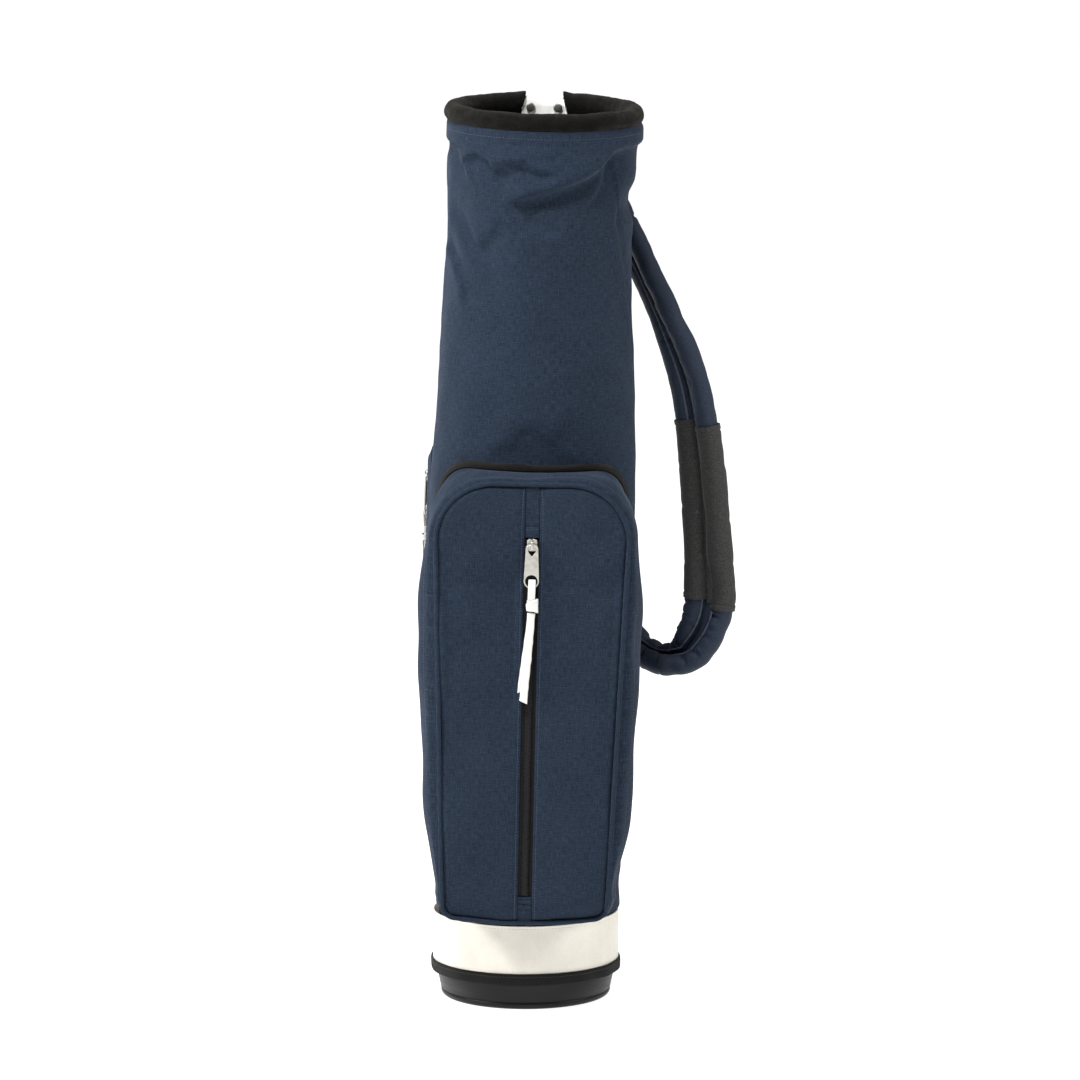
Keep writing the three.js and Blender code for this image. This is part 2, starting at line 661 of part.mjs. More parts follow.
const flipped = ({ x, z, nx, nz }) => ({ x: -x, z, nx: -nx, nz });
const mirrored = (half) => half.slice(1, -1).reverse().map(flipped);
const whole = (half) => [...half, ...mirrored(half)];
const moved = ({ x, z, nx, nz }, off) => ({ x: x + nx * off, z: z + nz * off });

const panelHalf = halfOutline(POCKET_HALF_LOW, POCKET_HALF_HIGH, POCKET_LOW, POCKET_HIGH, 12, 57);
const panelLine = whole(panelHalf);
const seamLine = whole(halfOutline(96, SEAM_HALF, SEAM_LOW, SEAM_HIGH, 14, 46));

// A point of the seam on the tube, from its distance round the tube, off the cloth.
function onSeam(row, outward, off) {
  const { x, z } = moved(row, outward);
  const p = onTube(x / 95, z, off);
  p.x -= POCKET_SHIFT;
  return p;
}

// The gusset runs from the piping back to the tube, and its sides belly out.
function pocketGusset() {
  const stations = [0, 0.1, 0.26, 0.46, 0.66, 0.84, 1];
  const rows = panelLine.map((panel, i) => {
    const seam = onSeam(seamLine[i], 0, 1.4);
    const front = point(panel.x, POCKET_FRONT + 1.2, panel.z);
    const rise = THREE.MathUtils.smoothstep(panel.z, 96, 230);
    const fade = rise * (1 - THREE.MathUtils.smoothstep(panel.z, 385, 500));
    const belly = 3 + (GUSSET_BULGE - 3) * panel.nx ** 2 * (0.3 + 0.7 * fade);
    const skin = (s, thick) => {
      const p = front.clone().lerp(seam, s);
      const off = belly * Math.sin(Math.PI * s ** 0.8) + 4.7 - 2.7 * s - thick;
      return point(p.x + panel.nx * off, p.y, p.z + panel.nz * off);
    };
    return [...stations.map((s) => skin(s, 0)), ...stations.map((s) => skin(s, CLOTH)).reverse()];
  });
  return loft(rows, true);
}

// The black tape that binds the seam between gusset and tube lies flat on the tube.
function pocketBinding() {
  return loft(seamLine.map((row) => [
    onSeam(row, 2.8, 1), onSeam(row, 2.8, 2.2), onSeam(row, 6.4, 2.4),
    onSeam(row, 10, 2.2), onSeam(row, 10, 1), onSeam(row, 6.4, 1),
  ]), true);
}

// The piping's two ends meet in the middle of the lower edge.
function pocketPiping() {
  const rows = [...panelHalf.slice(1), ...mirrored(panelHalf)];
  const line = rows.map(({ x, z }) => point(x, POCKET_FRONT + 1, z));
  const ends = [point(0.4, POCKET_FRONT + 1, POCKET_LOW), point(-0.4, POCKET_FRONT + 1, POCKET_LOW)];
  const stations = [ends[0], ...line, ends[1]];
  return loft(stations.map((here, i) => {
    const before = stations[Math.max(0, i - 1)];
    const after = stations[Math.min(stations.length - 1, i + 1)];
    const forward = after.clone().sub(before).normalize();
    const side = point(forward.z, 0, -forward.x);
    return Array.from({ length: 6 }, (_, k) => {
      const angle = (k / 6) * 2 * Math.PI;
      const p = here.clone().addScaledVector(side, PIPING * Math.cos(angle));
      p.y += PIPING * Math.sin(angle);
      return p;
    });
  }));
}

// One half of the front panel, from the zip's edge to the piping. side is -1 left, 1 right.
function panelShape(side) {
  const inset = PIPING + GAP;
  const edge = panelHalf.map((row) => moved(row, -inset)).filter(({ x }) => x > ZIP_HALF_GAP + 2);
  const points = [
    [ZIP_HALF_GAP, POCKET_LOW + inset],
    ...edge.map(({ x, z }) => [x, z]),
    [ZIP_HALF_GAP, POCKET_HIGH - inset],
  ];
  return polygon(points.map(([x, z]) => [side * x, z]));
}

piece(pocket, 'pocket_gusset', pocketGusset(), cloth);
piece(pocket, 'pocket_binding', pocketBinding(), blackTape);
piece(pocket, 'pocket_piping', pocketPiping(), cloth);
piece(pocket, 'pocket_panel_left', plate(panelShape(-1), POCKET_FRONT, POCKET_FRONT + CLOTH), cloth);
piece(pocket, 'pocket_panel_right', plate(panelShape(1), POCKET_FRONT, POCKET_FRONT + CLOTH), cloth);

// ---------------------------------------------------------------- zips
// Each zip is drawn in its own group: the cloth's face is at Y 0 and the bag is at +Y.
const COIL_FRONT = 0.3;
const COIL_BACK = 3.1;
const COIL_HALF_GAP = 0.9;
const COIL_OUTER = 3;
const PULL_AXIS = -3.8; // where the pull hangs in the slider's bridge
const PULL_THICK = 1.6;
const RING_HOLE = 6; // radius of the big hole at the pull's lower end
const HOLE_DROP = 35; // and how far it is below the pull's hinge

function slider() {
  const half = SLIDER_LENGTH / 2;
  const top = box(point(-5, -1.5, -half), point(5, -0.1, half));
  const bottom = box(point(-4.6, 3.5, -half), point(4.6, 4.7, half));
  const post = box(point(-0.5, -0.3, 1), point(0.5, 3.8, half));
  const bridge = new THREE.Shape();
  bridge.moveTo(-1.2, -4.6);
  bridge.lineTo(-5, -4.6);
  bridge.quadraticCurveTo(-7.2, -4.6, -7.2, -2);
  bridge.lineTo(-7.2, 2);
  bridge.quadraticCurveTo(-7.2, 4.6, -5, 4.6);
  bridge.lineTo(-1.2, 4.6);
  const window = polygon([[-1.7, -3], [-1.7, 3], [-5.9, 3], [-5.9, -3]]);
  bridge.holes.push(window);
  return join(top, bottom, post, strip(bridge, 2.2, 1));
}

// The pull tapers to its hinge bar; a small window lets it swing over the bridge.
function pull() {
  const shape = new THREE.Shape();
  shape.moveTo(-3.2, 1.1);
  shape.lineTo(3.2, 1.1);
  shape.quadraticCurveTo(6.1, 0.4, 6.2, -5);
  shape.lineTo(7.4, -HOLE_DROP);
  shape.absarc(0, -HOLE_DROP, 7.4, 0, -Math.PI, true);
  shape.lineTo(-6.2, -5);
  shape.quadraticCurveTo(-6.1, 0.4, -3.2, 1.1);
  shape.holes.push(polygon([[-3.7, -1.1], [3.7, -1.1], [3.3, -4.6], [0, -8.2], [-3.3, -4.6]]));
  shape.holes.push(circle(0, -HOLE_DROP, RING_HOLE));
  return plate(shape, PULL_AXIS - PULL_THICK / 2, PULL_AXIS + PULL_THICK / 2);
}

// A leather lace looped through the pull's hole and knotted below it.
function laceKnot() {
  const half = 3.7;
  const [front, back] = [PULL_AXIS - 3.2, PULL_AXIS + 2.6];
  const [inFront, inBack] = [front + 1.3, back - 1.3];
  const low = -HOLE_DROP - 22;
  const profile = polygon([
    [front, low], [front, -HOLE_DROP - 0.6], [front + 1.6, -HOLE_DROP + 1.6],
    [back - 1.4, -HOLE_DROP + 1.6], [back, -HOLE_DROP - 0.6], [back, low],
    [inBack, low], [inBack, -HOLE_DROP - 2.2], [inFront, -HOLE_DROP - 2.2], [inFront, low],
  ]);
  const knot = new THREE.SphereGeometry(1, 12, 8).scale(6.8, 4.2, 7);
  knot.translate(1.2, PULL_AXIS - 0.9, -HOLE_DROP - 24);
  return join(strip(profile, 2 * half, 1), knot);
}

// One of the two flat ends that hang from the knot: a flattened eight-sided section.
function laceTail(route, width, thick) {
  const curve = new THREE.CatmullRomCurve3(route.map((p) => point(...p)));
  const section = new THREE.Shape(Array.from({ length: 8 }, (_, k) => {
    const angle = ((k + 0.5) / 8) * 2 * Math.PI;
    return new THREE.Vector2(0.54 * thick * Math.cos(angle), 0.54 * width * Math.sin(angle));
  }));
  return closed(new THREE.ExtrudeGeometry(section, { extrudePath: curve, steps: 8, curveSegments: 1 }));
}

const KNOT_LOW = -HOLE_DROP - 31.4;
const LACE_FRONT = PULL_AXIS - 2.6;
const LACE_BACK = PULL_AXIS - 0.4;
const TAIL_ROUTES = {
  left: [
    [0.2, LACE_BACK, KNOT_LOW], [0, LACE_BACK, KNOT_LOW - 5], [-0.3, LACE_BACK, KNOT_LOW - 10],
    [-0.8, LACE_BACK, KNOT_LOW - 16], [-1.5, LACE_BACK, KNOT_LOW - 22], [-2.2, LACE_BACK, KNOT_LOW - 28],
    [-2.9, LACE_BACK, KNOT_LOW - 34], [-3.6, LACE_BACK, KNOT_LOW - 40], [-4.3, LACE_BACK, KNOT_LOW - 46],
    [-5, LACE_BACK, KNOT_LOW - 52], [-5.7, LACE_BACK, KNOT_LOW - 58], [-6.3, LACE_BACK, KNOT_LOW - 63],
    [-6.9, LACE_BACK, KNOT_LOW - 68], [-7.4, LACE_BACK, KNOT_LOW - 73], [-8, LACE_BACK, KNOT_LOW - 78],
  ],
  right: [
    [0.6, LACE_FRONT, KNOT_LOW], [0.4, LACE_FRONT, KNOT_LOW - 6], [0.1, LACE_FRONT, KNOT_LOW - 12],
    [-0.3, LACE_FRONT, KNOT_LOW - 18], [-0.7, LACE_FRONT, KNOT_LOW - 24], [-1.1, LACE_FRONT, KNOT_LOW - 31],
    [-1.6, LACE_FRONT, KNOT_LOW - 38], [-2.1, LACE_FRONT, KNOT_LOW - 45], [-2.7, LACE_FRONT, KNOT_LOW - 52],
    [-3.2, LACE_FRONT, KNOT_LOW - 59], [-3.8, LACE_FRONT, KNOT_LOW - 66], [-4.3, LACE_FRONT, KNOT_LOW - 72],
    [-4.7, LACE_FRONT, KNOT_LOW - 78], [-5.1, LACE_FRONT, KNOT_LOW - 83], [-5.4, LACE_FRONT, KNOT_LOW - 88],
  ],
};

function addZip(parent, prefix, low, high) {
  const zip = new THREE.Group();
  parent.add(zip);
  for (const [side, name] of [[-1, 'left'], [1, 'right']]) {
    const tape = box(point(-5.3, 2.3, low), point(5.3, 3.1, high)).translate(side * 8.7, 0, 0);
    const half = (COIL_OUTER - COIL_HALF_GAP) / 2;
    const coil = box(point(-half, COIL_FRONT, low), point(half, COIL_BACK, high));
    coil.translate(side * (COIL_OUTER - half), 0, 0);
    piece(zip, `${prefix}zip_tape_${name}`, closed(tape), zipTape);
    piece(zip, `${prefix}zip_coil_${name}`, closed(coil), zipCoil);
  }
  const height = high - SLIDER_LENGTH / 2 - 0.8;
  const parts = [
    ['zip_slider', slider(), nickel], ['zip_pull', pull(), nickel], ['lace_knot', laceKnot(), lace],
    ['lace_tail_left', laceTail(TAIL_ROUTES.left, 7.2, 1.5), lace],
    ['lace_tail_right', laceTail(TAIL_ROUTES.right, 7.4, 1.5), lace],
  ];
  for (const [name, geometry, material] of parts) {
    piece(zip, prefix + name, geometry, material).position.z = height;
  }
  return zip;
}

const ZIP_LOW = 128;
const ZIP_HIGH = 483.5;
addZip(pocket, '', ZIP_LOW, ZIP_HIGH).position.y = POCKET_FRONT;
const tabHalf = ZIP_HALF_GAP - GAP;
function zipTab(low, high) {
  return box(point(-tabHalf, POCKET_FRONT + 0.2, low), point(tabHalf, POCKET_FRONT + 1.8, high));
}

piece(pocket, 'zip_top_tab', zipTab(ZIP_HIGH + GAP, POCKET_HIGH - PIPING - GAP), cloth);
piece(pocket, 'zip_bottom_tab', zipTab(POCKET_LOW + PIPING + GAP, ZIP_LOW - GAP), cloth);

// ---------------------------------------------------------------- side pocket
const side = new THREE.Group();
side.position.set(sideFace.x, sideFace.y, 0);
side.rotation.z = SIDE_ZIP_ANGLE;
upper.add(side);
addZip(side, 'side_', SIDE_LOW, SIDE_HIGH);

// A canvas frame round the zip.
function sideWelt() {
  const [low, high] = [SIDE_LOW - 14, SIDE_HIGH + 14];
  const shape = polygon([[-24, low], [24, low], [24, high], [-24, high]]);
  shape.holes.push(polygon([
    [-ZIP_HALF_GAP, SIDE_LOW - 2], [-ZIP_HALF_GAP, SIDE_HIGH + 2],
    [ZIP_HALF_GAP, SIDE_HIGH + 2], [ZIP_HALF_GAP, SIDE_LOW - 2],
  ]));
  return plate(shape, 0, 1.9);
}
piece(side, 'side_zip_welt', sideWelt(), cloth);

// The pocket's lining is a channel inside the tube, whose two edges meet the wall.
function sideLining() {
  const section = [[-0.42, -3.2], [-0.36, -17], [-0.2, -18], [0, -18], [0.2, -18], [0.36, -17], [0.42, -3.2]];
  const stations = 14;
  return loft(Array.from({ length: stations + 1 }, (_, k) => {
    const height = SIDE_LOW - 30 + ((SIDE_HIGH - SIDE_LOW + 50) * k) / stations;
    const outside = section.map(([angle, off]) => onTube(SIDE_ZIP_ANGLE + 0.96 * angle, height, off));
    const inside = section.map(([angle, off]) => (
      onTube(SIDE_ZIP_ANGLE + angle, height, off < -10 ? off - 1.4 : off)
    ));
    return [...outside, ...inside.reverse()];
  }));
}
piece(upper, 'side_pocket_lining', sideLining(), zipTape);

export default bag;
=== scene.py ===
import math

import bpy
import numpy as np
from mathutils import Matrix, Vector


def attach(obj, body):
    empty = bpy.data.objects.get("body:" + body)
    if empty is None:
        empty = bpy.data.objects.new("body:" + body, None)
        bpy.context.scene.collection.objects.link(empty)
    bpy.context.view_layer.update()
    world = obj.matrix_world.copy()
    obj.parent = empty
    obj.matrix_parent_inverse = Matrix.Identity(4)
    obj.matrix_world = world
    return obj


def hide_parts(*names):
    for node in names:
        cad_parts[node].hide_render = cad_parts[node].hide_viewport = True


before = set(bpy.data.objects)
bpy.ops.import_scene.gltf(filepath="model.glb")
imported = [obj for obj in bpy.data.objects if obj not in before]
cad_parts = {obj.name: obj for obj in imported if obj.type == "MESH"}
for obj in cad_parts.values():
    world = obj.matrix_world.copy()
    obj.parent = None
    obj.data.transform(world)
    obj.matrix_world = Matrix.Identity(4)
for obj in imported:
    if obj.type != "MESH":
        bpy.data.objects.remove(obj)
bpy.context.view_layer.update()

MM = 0.001
TAU = 2 * math.pi


# ---------------------------------------------------------------- driving sizes
# Millimetres, as in the part, but for two: the visual pocket reaches lower than the plain solid
# (POCKET_LOW) and its side bulges less (GUSSET_BULGE), as in the photo.
CUFF_TOP = 86
CUFF_LOW = 29
CUFF_RADIUS = 92.2
BASE_RADIUS = 84
BINDING_LOW = 26.4
BINDING_TOP = 38
LEAN = math.radians(1.2)
LEAN_SHIFT = 2
SWAY = 4.5
TUBE_TAIL = 56
TAIL_RADIUS = 87.9
BACK_LOW = 91.8
BACK_GROWTH = 2.8
TUBE_TOP = 870.6
RIM_HEIGHT = 881
RIM_CENTRE = 88.7
RIM_ROLL = 9.5
HEM_LOW = 854
POCKET_SHIFT = -3.6
POCKET_FRONT = -149.2
POCKET_LOW = 100
POCKET_HIGH = 536
SEAM_LOW = 103
SEAM_HIGH = 538
SEAM_HALF = 104
GUSSET_BULGE = 16.5
PIPING = 2.3
ZIP_HALF_GAP = 6.9
ZIP_LOW = 128
ZIP_HIGH = 483.5
SLIDER_LENGTH = 12
SIDE_ANGLE = math.radians(-112)
SIDE_LOW = 300
SIDE_HIGH = 521
STRAP_AXIS = 121.5
STRAP_HIGH = 798
STRAP_LOW = 386
STRAP_SPACING = 29
STRAP_RADIUS = 10
GRIP_RADIUS = 12.2

# Smaller sizes in millimetres, some of them only in the looks. STITCH_STATION is a share of the
# pocket side's depth, and MM_PER_DEGREE is the way round the tube for one degree.
PULL_AXIS = -3.8
HOLE_DROP = 35
ANCHOR_BAR = STRAP_AXIS - 19.3
STRIP_HALF = 19
SLANT = 0.27
NOTCH_HALF = 19.4
WEB_LOOP = 4.2
STITCH_STATION = 0.15
MM_PER_DEGREE = 1.66
HEM_LIFT = 5.5
LACE_DIP = 2.7

# The camera: its lens in millimetres, its place in metres and how far it looks down in degrees.
CAMERA_LENS = 304.8
CAMERA_AT = (0.0143, -8.9, 1.97)
CAMERA_DIP = 9.653


# ---------------------------------------------------------------- the camera and the cords first
def add_camera():
    """A long lens about nine metres away and two metres up, as in a catalogue picture."""
    data = bpy.data.cameras.new("camera")
    data.sensor_width = 36
    data.lens = CAMERA_LENS
    data.clip_end = 100
    camera = bpy.data.objects.new("camera", data)
    camera.location = CAMERA_AT
    camera.rotation_euler = (math.radians(90 - CAMERA_DIP), 0, 0)
    bpy.context.scene.collection.objects.link(camera)
    bpy.context.scene.camera = camera


add_camera()


def group(parent, shift=(0, 0, 0), turn=None):
    """The matrix of a group inside a parent group."""
    return parent @ Matrix.Translation(shift) @ (turn or Matrix.Identity(4))


WORLD = Matrix.Identity(4)
LEANING = group(WORLD, (LEAN_SHIFT, 0, CUFF_TOP), Matrix.Rotation(LEAN, 4, "Y"))
UPPER = group(LEANING, (0, 0, -CUFF_TOP))
POCKET = group(UPPER, (POCKET_SHIFT, 0, 0))
ZIP = group(POCKET, (0, POCKET_FRONT, 0))


def place(points, matrix):
    """Group millimetres to metres in the row frame, for an array of points of any shape."""
    m = np.array(matrix)
    return (np.asarray(points, float) @ m[:3, :3].T + m[:3, 3]) * MM


# ---------------------------------------------------------------- small mathematics
def smooth(low, high, value):
    t = np.clip((np.asarray(value, float) - low) / (high - low), 0, 1)
    return t * t * (3 - 2 * t)


def bump(value, centre, width):
    """A bell of height 1 round a centre."""
    return np.exp(-(((np.asarray(value, float) - centre) / width) ** 2))


def profile(rows, at):
    """A smooth curve through [position, value] rows that never overshoots them."""
    rows = np.array(rows, float)
    x, y = rows[:, 0], rows[:, 1]
    step = np.diff(x)
    slope = np.diff(y) / step
    inner = np.where(slope[1:] * slope[:-1] > 0,
                     2 * slope[1:] * slope[:-1] / (slope[1:] + slope[:-1] + 1e-12), 0)
    tangent = np.concatenate([[slope[0]], inner, [slope[-1]]])
    at = np.clip(np.asarray(at, float), x[0], x[-1])
    k = np.clip(np.searchsorted(x, at) - 1, 0, len(x) - 2)
    t = (at - x[k]) / step[k]
    a, b = y[k], y[k + 1]
    p, q = tangent[k] * step[k], tangent[k + 1] * step[k]
    return a + t * (p + t * (3 * (b - a) - 2 * p - q + t * (2 * (a - b) + p + q)))


def ripple(points, seed, length, count=24):
    """Soft noise of about one millimetre at a wavelength, the same in every run."""
    rng = np.random.default_rng(seed)
    points = np.asarray(points, float)
    total = np.zeros(points.shape[:-1])
    for _ in range(count):
        direction = rng.normal(size=3)
        direction *= rng.uniform(0.6, 1.4) * TAU / length / np.linalg.norm(direction)
        total += np.sin(points @ direction + rng.uniform(0, TAU))
    return total * math.sqrt(2 / count)


def curve(points, at):
    """The centripetal Catmull-Rom curve that three.js draws through points, at 0 to 1 along it."""
    p = np.asarray(points, float)
    p = np.vstack([2 * p[0] - p[1], p, 2 * p[-1] - p[-2]])
    u = np.clip(np.asarray(at, float), 0, 1) * (len(p) - 3)
    k = np.minimum(u.astype(int), len(p) - 4)
    t = (u - k)[..., None]
    a, b, c, d = p[k], p[k + 1], p[k + 2], p[k + 3]
    before, here, after = (np.sqrt(np.linalg.norm(q - r, axis=-1, keepdims=True)) for q,
                           r in ((b, a), (c, b), (d, c)))
    start = here * ((b - a) / before - (c - a) / (before + here) + (c - b) / here)
    end = here * ((c - b) / here - (d - b) / (here + after) + (d - c) / after)
    return b + t * (start + t * (3 * (c - b) - 2 * start - end + t * (2 * (b - c) + start + end)))


def unit(vectors):
    return vectors / np.maximum(np.linalg.norm(vectors, axis=-1, keepdims=True), 1e-12)


def frames(path, hint):
    """Directions along a path and two square to it; hint is near the first of those."""
    forward = unit(np.gradient(path, axis=0))
    hint = np.broadcast_to(np.asarray(hint, float), path.shape)
    side = unit(hint - (hint * forward).sum(-1, keepdims=True) * forward)
    return forward, side, np.cross(forward, side)


def normals(grid, looped=False):
    """Unit normals of a grid of points: the columns run to the right of the rows seen from outside."""
    if looped:
        across = np.roll(grid, -1, 1) - np.roll(grid, 1, 1)
    else:
        across = np.gradient(grid, axis=1)
    up = np.gradient(grid, axis=0)
    return unit(np.cross(across, up))


# ---------------------------------------------------------------- meshes
def add_mesh(name, points, faces, uvs, material, body, nodes=(), sharp=50):
    """A finished piece: metres in, shaded smooth, riding on a body and standing for CAD nodes."""
    mesh = bpy.data.meshes.new(name)
    mesh.from_pydata(np.asarray(points).reshape(-1, 3).tolist(), [], faces)
    if uvs is not None:
        layer = mesh.uv_layers.new(name="cloth")
        layer.data.foreach_set("uv", np.asarray(uvs, np.float32).ravel())
    mesh.validate()
    mesh.polygons.foreach_set("use_smooth", [True] * len(mesh.polygons))
    mesh.set_sharp_from_angle(angle=math.radians(sharp))
    mesh.materials.append(material)
    piece = bpy.data.objects.new(name, mesh)
    bpy.context.scene.collection.objects.link(piece)
    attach(piece, body)
    if nodes:
        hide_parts(*nodes)
    return piece


def quads(rows, columns, looped, closed):
    """The corner indices of a grid's faces."""
    i, j = np.meshgrid(np.arange(rows if closed else rows - 1),
                       np.arange(columns if looped else columns - 1), indexing="ij")
    i, j = i.ravel(), j.ravel()
    ni, nj = (i + 1) % rows, (j + 1) % columns
    return np.stack([i * columns + j, i * columns + nj, ni * columns + nj, ni * columns + j], 1), i, j


def measure(grid, looped):
    """Distances across and up a grid in metres, for the weave."""
    middle = grid[len(grid) // 2]
    ring = np.vstack([middle, middle[:1]]) if looped else middle
    u = np.concatenate([[0], np.cumsum(np.linalg.norm(np.diff(ring, axis=0), axis=1))])
    column = grid[:, grid.shape[1] // 2]
    v = np.concatenate([[0], np.cumsum(np.linalg.norm(np.diff(column, axis=0), axis=1))])
    return u, v


def surface(name, grid, thick, matrix, material, body, nodes=(), looped=False, sharp=50):
    """A sheet of real thickness: the grid is its outer face in millimetres, and it grows inwards."""
    grid = np.asarray(grid, float)
    rows, columns = grid.shape[:2]
    inner = grid - normals(grid, looped) * thick
    u, v = measure(grid * MM, looped)
    front, i, j = quads(rows, columns, looped, False)
    uv = np.stack([np.stack([u[j], v[i]], 1), np.stack([u[j + 1], v[i]], 1),
                   np.stack([u[j + 1], v[i + 1]], 1), np.stack([u[j], v[i + 1]], 1)], 1)
    size = rows * columns
    faces = [front, front[:, ::-1] + size]
    coords = [uv, uv[:, ::-1]]
    for row, flip in ((0, False), (rows - 1, True)):
        a = row * columns + np.arange(columns if looped else columns - 1)
        b = row * columns + (np.arange(len(a)) + 1) % columns
        edge = np.stack([b, a, a + size, b + size], 1)
        ua, ub = u[:len(a)], u[1:len(a) + 1]
        va = np.full(len(a), v[row])
        end = np.stack([np.stack([ub, va], 1), np.stack([ua, va], 1),
                        np.stack([ua, va + thick * MM], 1), np.stack([ub, va + thick * MM], 1)], 1)
        faces.append(edge[:, ::-1] if flip else edge)
        coords.append(end[:, ::-1] if flip else end)
    if not looped:
        for column, flip in ((0, True), (columns - 1, False)):
            a = np.arange(rows - 1) * columns + column
            b = a + columns
            edge = np.stack([b, a, a + size, b + size], 1)
            ua = np.full(len(a), u[column])
            end = np.stack([np.stack([ua, v[1:]], 1), np.stack([ua, v[:-1]], 1),
                            np.stack([ua + thick * MM, v[:-1]], 1), np.stack([ua + thick * MM, v[1:]], 1)], 1)
            faces.append(edge[:, ::-1] if flip else edge)
            coords.append(end[:, ::-1] if flip else end)
    points = place(np.concatenate([grid.reshape(-1, 3), inner.reshape(-1, 3)]), matrix)
    return add_mesh(name, points, np.concatenate(faces).tolist(), np.concatenate(coords).reshape(-1, 2),
                    material, body, nodes, sharp)


def sweep_points(path, side, face, radii, sides):
    """Sections round a path; radii is a number, or an array of (stations, sides)."""
    angle = np.arange(sides) / sides * TAU
    radii = np.broadcast_to(np.asarray(radii, float), (len(path), sides))
    return (path[:, None] + radii[..., None] * (np.cos(angle)[None, :, None] * side[:, None]
                                               + np.sin(angle)[None, :, None] * face[:, None]))


def tube(name, sections, matrix, material, body, nodes=(), closed=False, sharp=50):
    """A solid through rings of points: capped at both ends, or closed on itself."""
    sections = np.asarray(sections, float)
    rows, columns = sections.shape[:2]
    u, v = measure(sections * MM, True)
    if closed:
        v = np.append(v, v[-1] + np.linalg.norm(sections[0, 0] - sections[-1, 0]) * MM)
    faces, i, j = quads(rows, columns, True, closed)
    uv = np.stack([np.stack([u[j], v[i]], 1), np.stack([u[j + 1], v[i]], 1),
                   np.stack([u[j + 1], v[i + 1]], 1), np.stack([u[j], v[i + 1]], 1)], 1)
    faces = faces.tolist()
    uv = uv.reshape(-1, 2)
    if not closed:
        first = list(range(columns))[::-1]
        last = list(range((rows - 1) * columns, rows * columns))
        faces += [first, last]
        ends = np.stack([u[:columns], np.zeros(columns)], 1)
        uv = np.concatenate([uv, ends, ends])
    return add_mesh(name, place(sections, matrix), faces, uv, material, body, nodes, sharp)


def lathe(name, rows, matrix, material, body, nodes=(), steps=96, wobble=None, sharp=50):
    """A closed profile of [radius, height] rows turned about Z, or one that starts and ends on Z."""
    rows = np.array(rows, float)
    angle = np.arange(steps) / steps * TAU
    height = np.repeat(rows[:, 1][:, None], steps, 1)
    radius = rows[:, 0][:, None] + (wobble(angle[None], height) if wobble else 0 * height)
    grid = np.stack([radius * np.sin(angle), -radius * np.cos(angle), height], -1)
    return tube(name, grid, matrix, material, body, nodes, closed=True, sharp=sharp)


def tube_part(sections, closed=False):
    """The points and faces of a solid through rings, to be joined with others."""
    rows, columns = sections.shape[:2]
    faces = quads(rows, columns, True, closed)[0].tolist()
    if not closed:
        faces += [list(range(columns))[::-1], list(range((rows - 1) * columns, rows * columns))]
    return sections.reshape(-1, 3), faces


def joined(name, parts, matrix, material, body, nodes=(), sharp=50):
    """Several parts as one piece."""
    faces, start = [], 0
    for points, part_faces in parts:
        faces += [[start + k for k in face] for face in part_faces]
        start += len(points)
    points = place(np.concatenate([p for p, _ in parts]), matrix)
    return add_mesh(name, points, faces, None, material, body, nodes, sharp)


def strap_sections(path, wide, width, thick, sides=20, corner=0.3):
    """Sections of a flat strap along a path; wide is the direction of its width."""
    _, side, face = frames(np.asarray(path, float), wide)
    angle = (np.arange(sides) + 0.5) / sides * TAU
    x = np.sign(np.cos(angle)) * np.abs(np.cos(angle)) ** corner
    y = np.sign(np.sin(angle)) * np.abs(np.sin(angle)) ** corner
    width = np.broadcast_to(np.asarray(width, float), (len(path),))[:, None, None]
    thick = np.broadcast_to(np.asarray(thick, float), (len(path),))[:, None, None]
    return (np.asarray(path)[:, None] + width / 2 * x[None, :, None] * side[:, None]
            + thick / 2 * y[None, :, None] * face[:, None])


def grown(line, by):
    """A closed outline moved outwards."""
    line = np.asarray(line, float)
    after, before = np.roll(line, -1, 0), np.roll(line, 1, 0)
    turn = np.sign((line[:, 0] * after[:, 1] - after[:, 0] * line[:, 1]).sum())
    a, b = unit(line - before), unit(after - line)
    a, b = np.stack([a[:, 1], -a[:, 0]], 1), np.stack([b[:, 1], -b[:, 0]], 1)
    middle = unit(a + b)
    return line + middle * by * turn / np.maximum(0.6, (a * middle).sum(1, keepdims=True))


def plate_part(outline, low, high, bevel, holes=()):
    """An outline in X-Z with thickness from one Y to another and rounded edges."""
    data = bpy.data.curves.new("outline", "CURVE")
    data.dimensions = "2D"
    data.fill_mode = "BOTH"
    data.extrude = (high - low) / 2 - bevel
    data.bevel_depth = bevel
    data.bevel_resolution = 2
    for line in [grown(outline, -bevel)] + [grown(hole, bevel) for hole in holes]:
        spline = data.splines.new("POLY")
        spline.points.add(len(line) - 1)
        for point, (x, z) in zip(spline.points, line):
            point.co = (x, z, 0, 1)
        spline.use_cyclic_u = True
    source = bpy.data.objects.new("outline", data)
    mesh = bpy.data.meshes.new_from_object(source)
    points = np.array([v.co for v in mesh.vertices]).reshape(-1, 3)
    faces = [list(f.vertices) for f in mesh.polygons]
    bpy.data.objects.remove(source)
    bpy.data.curves.remove(data)
    bpy.data.meshes.remove(mesh)
    return np.stack([points[:, 0], (low + high) / 2 - points[:, 2], points[:, 1]], 1), faces


def round_arc(x, z, radius, start, end, count):
    """Points of an arc in X-Z, in degrees anticlockwise from +X."""
    a = np.radians(np.linspace(start, end, count))
    return np.stack([x + radius * np.cos(a), z + radius * np.sin(a)], 1)


def bend(a, b, c, count=6):
    """A quadratic curve from a to c that heads for b."""
    t = np.linspace(0, 1, count)[:, None]
    a, b, c = (np.array(p, float) for p in (a, b, c))
    return (1 - t) ** 2 * a + 2 * t * (1 - t) * b + t ** 2 * c


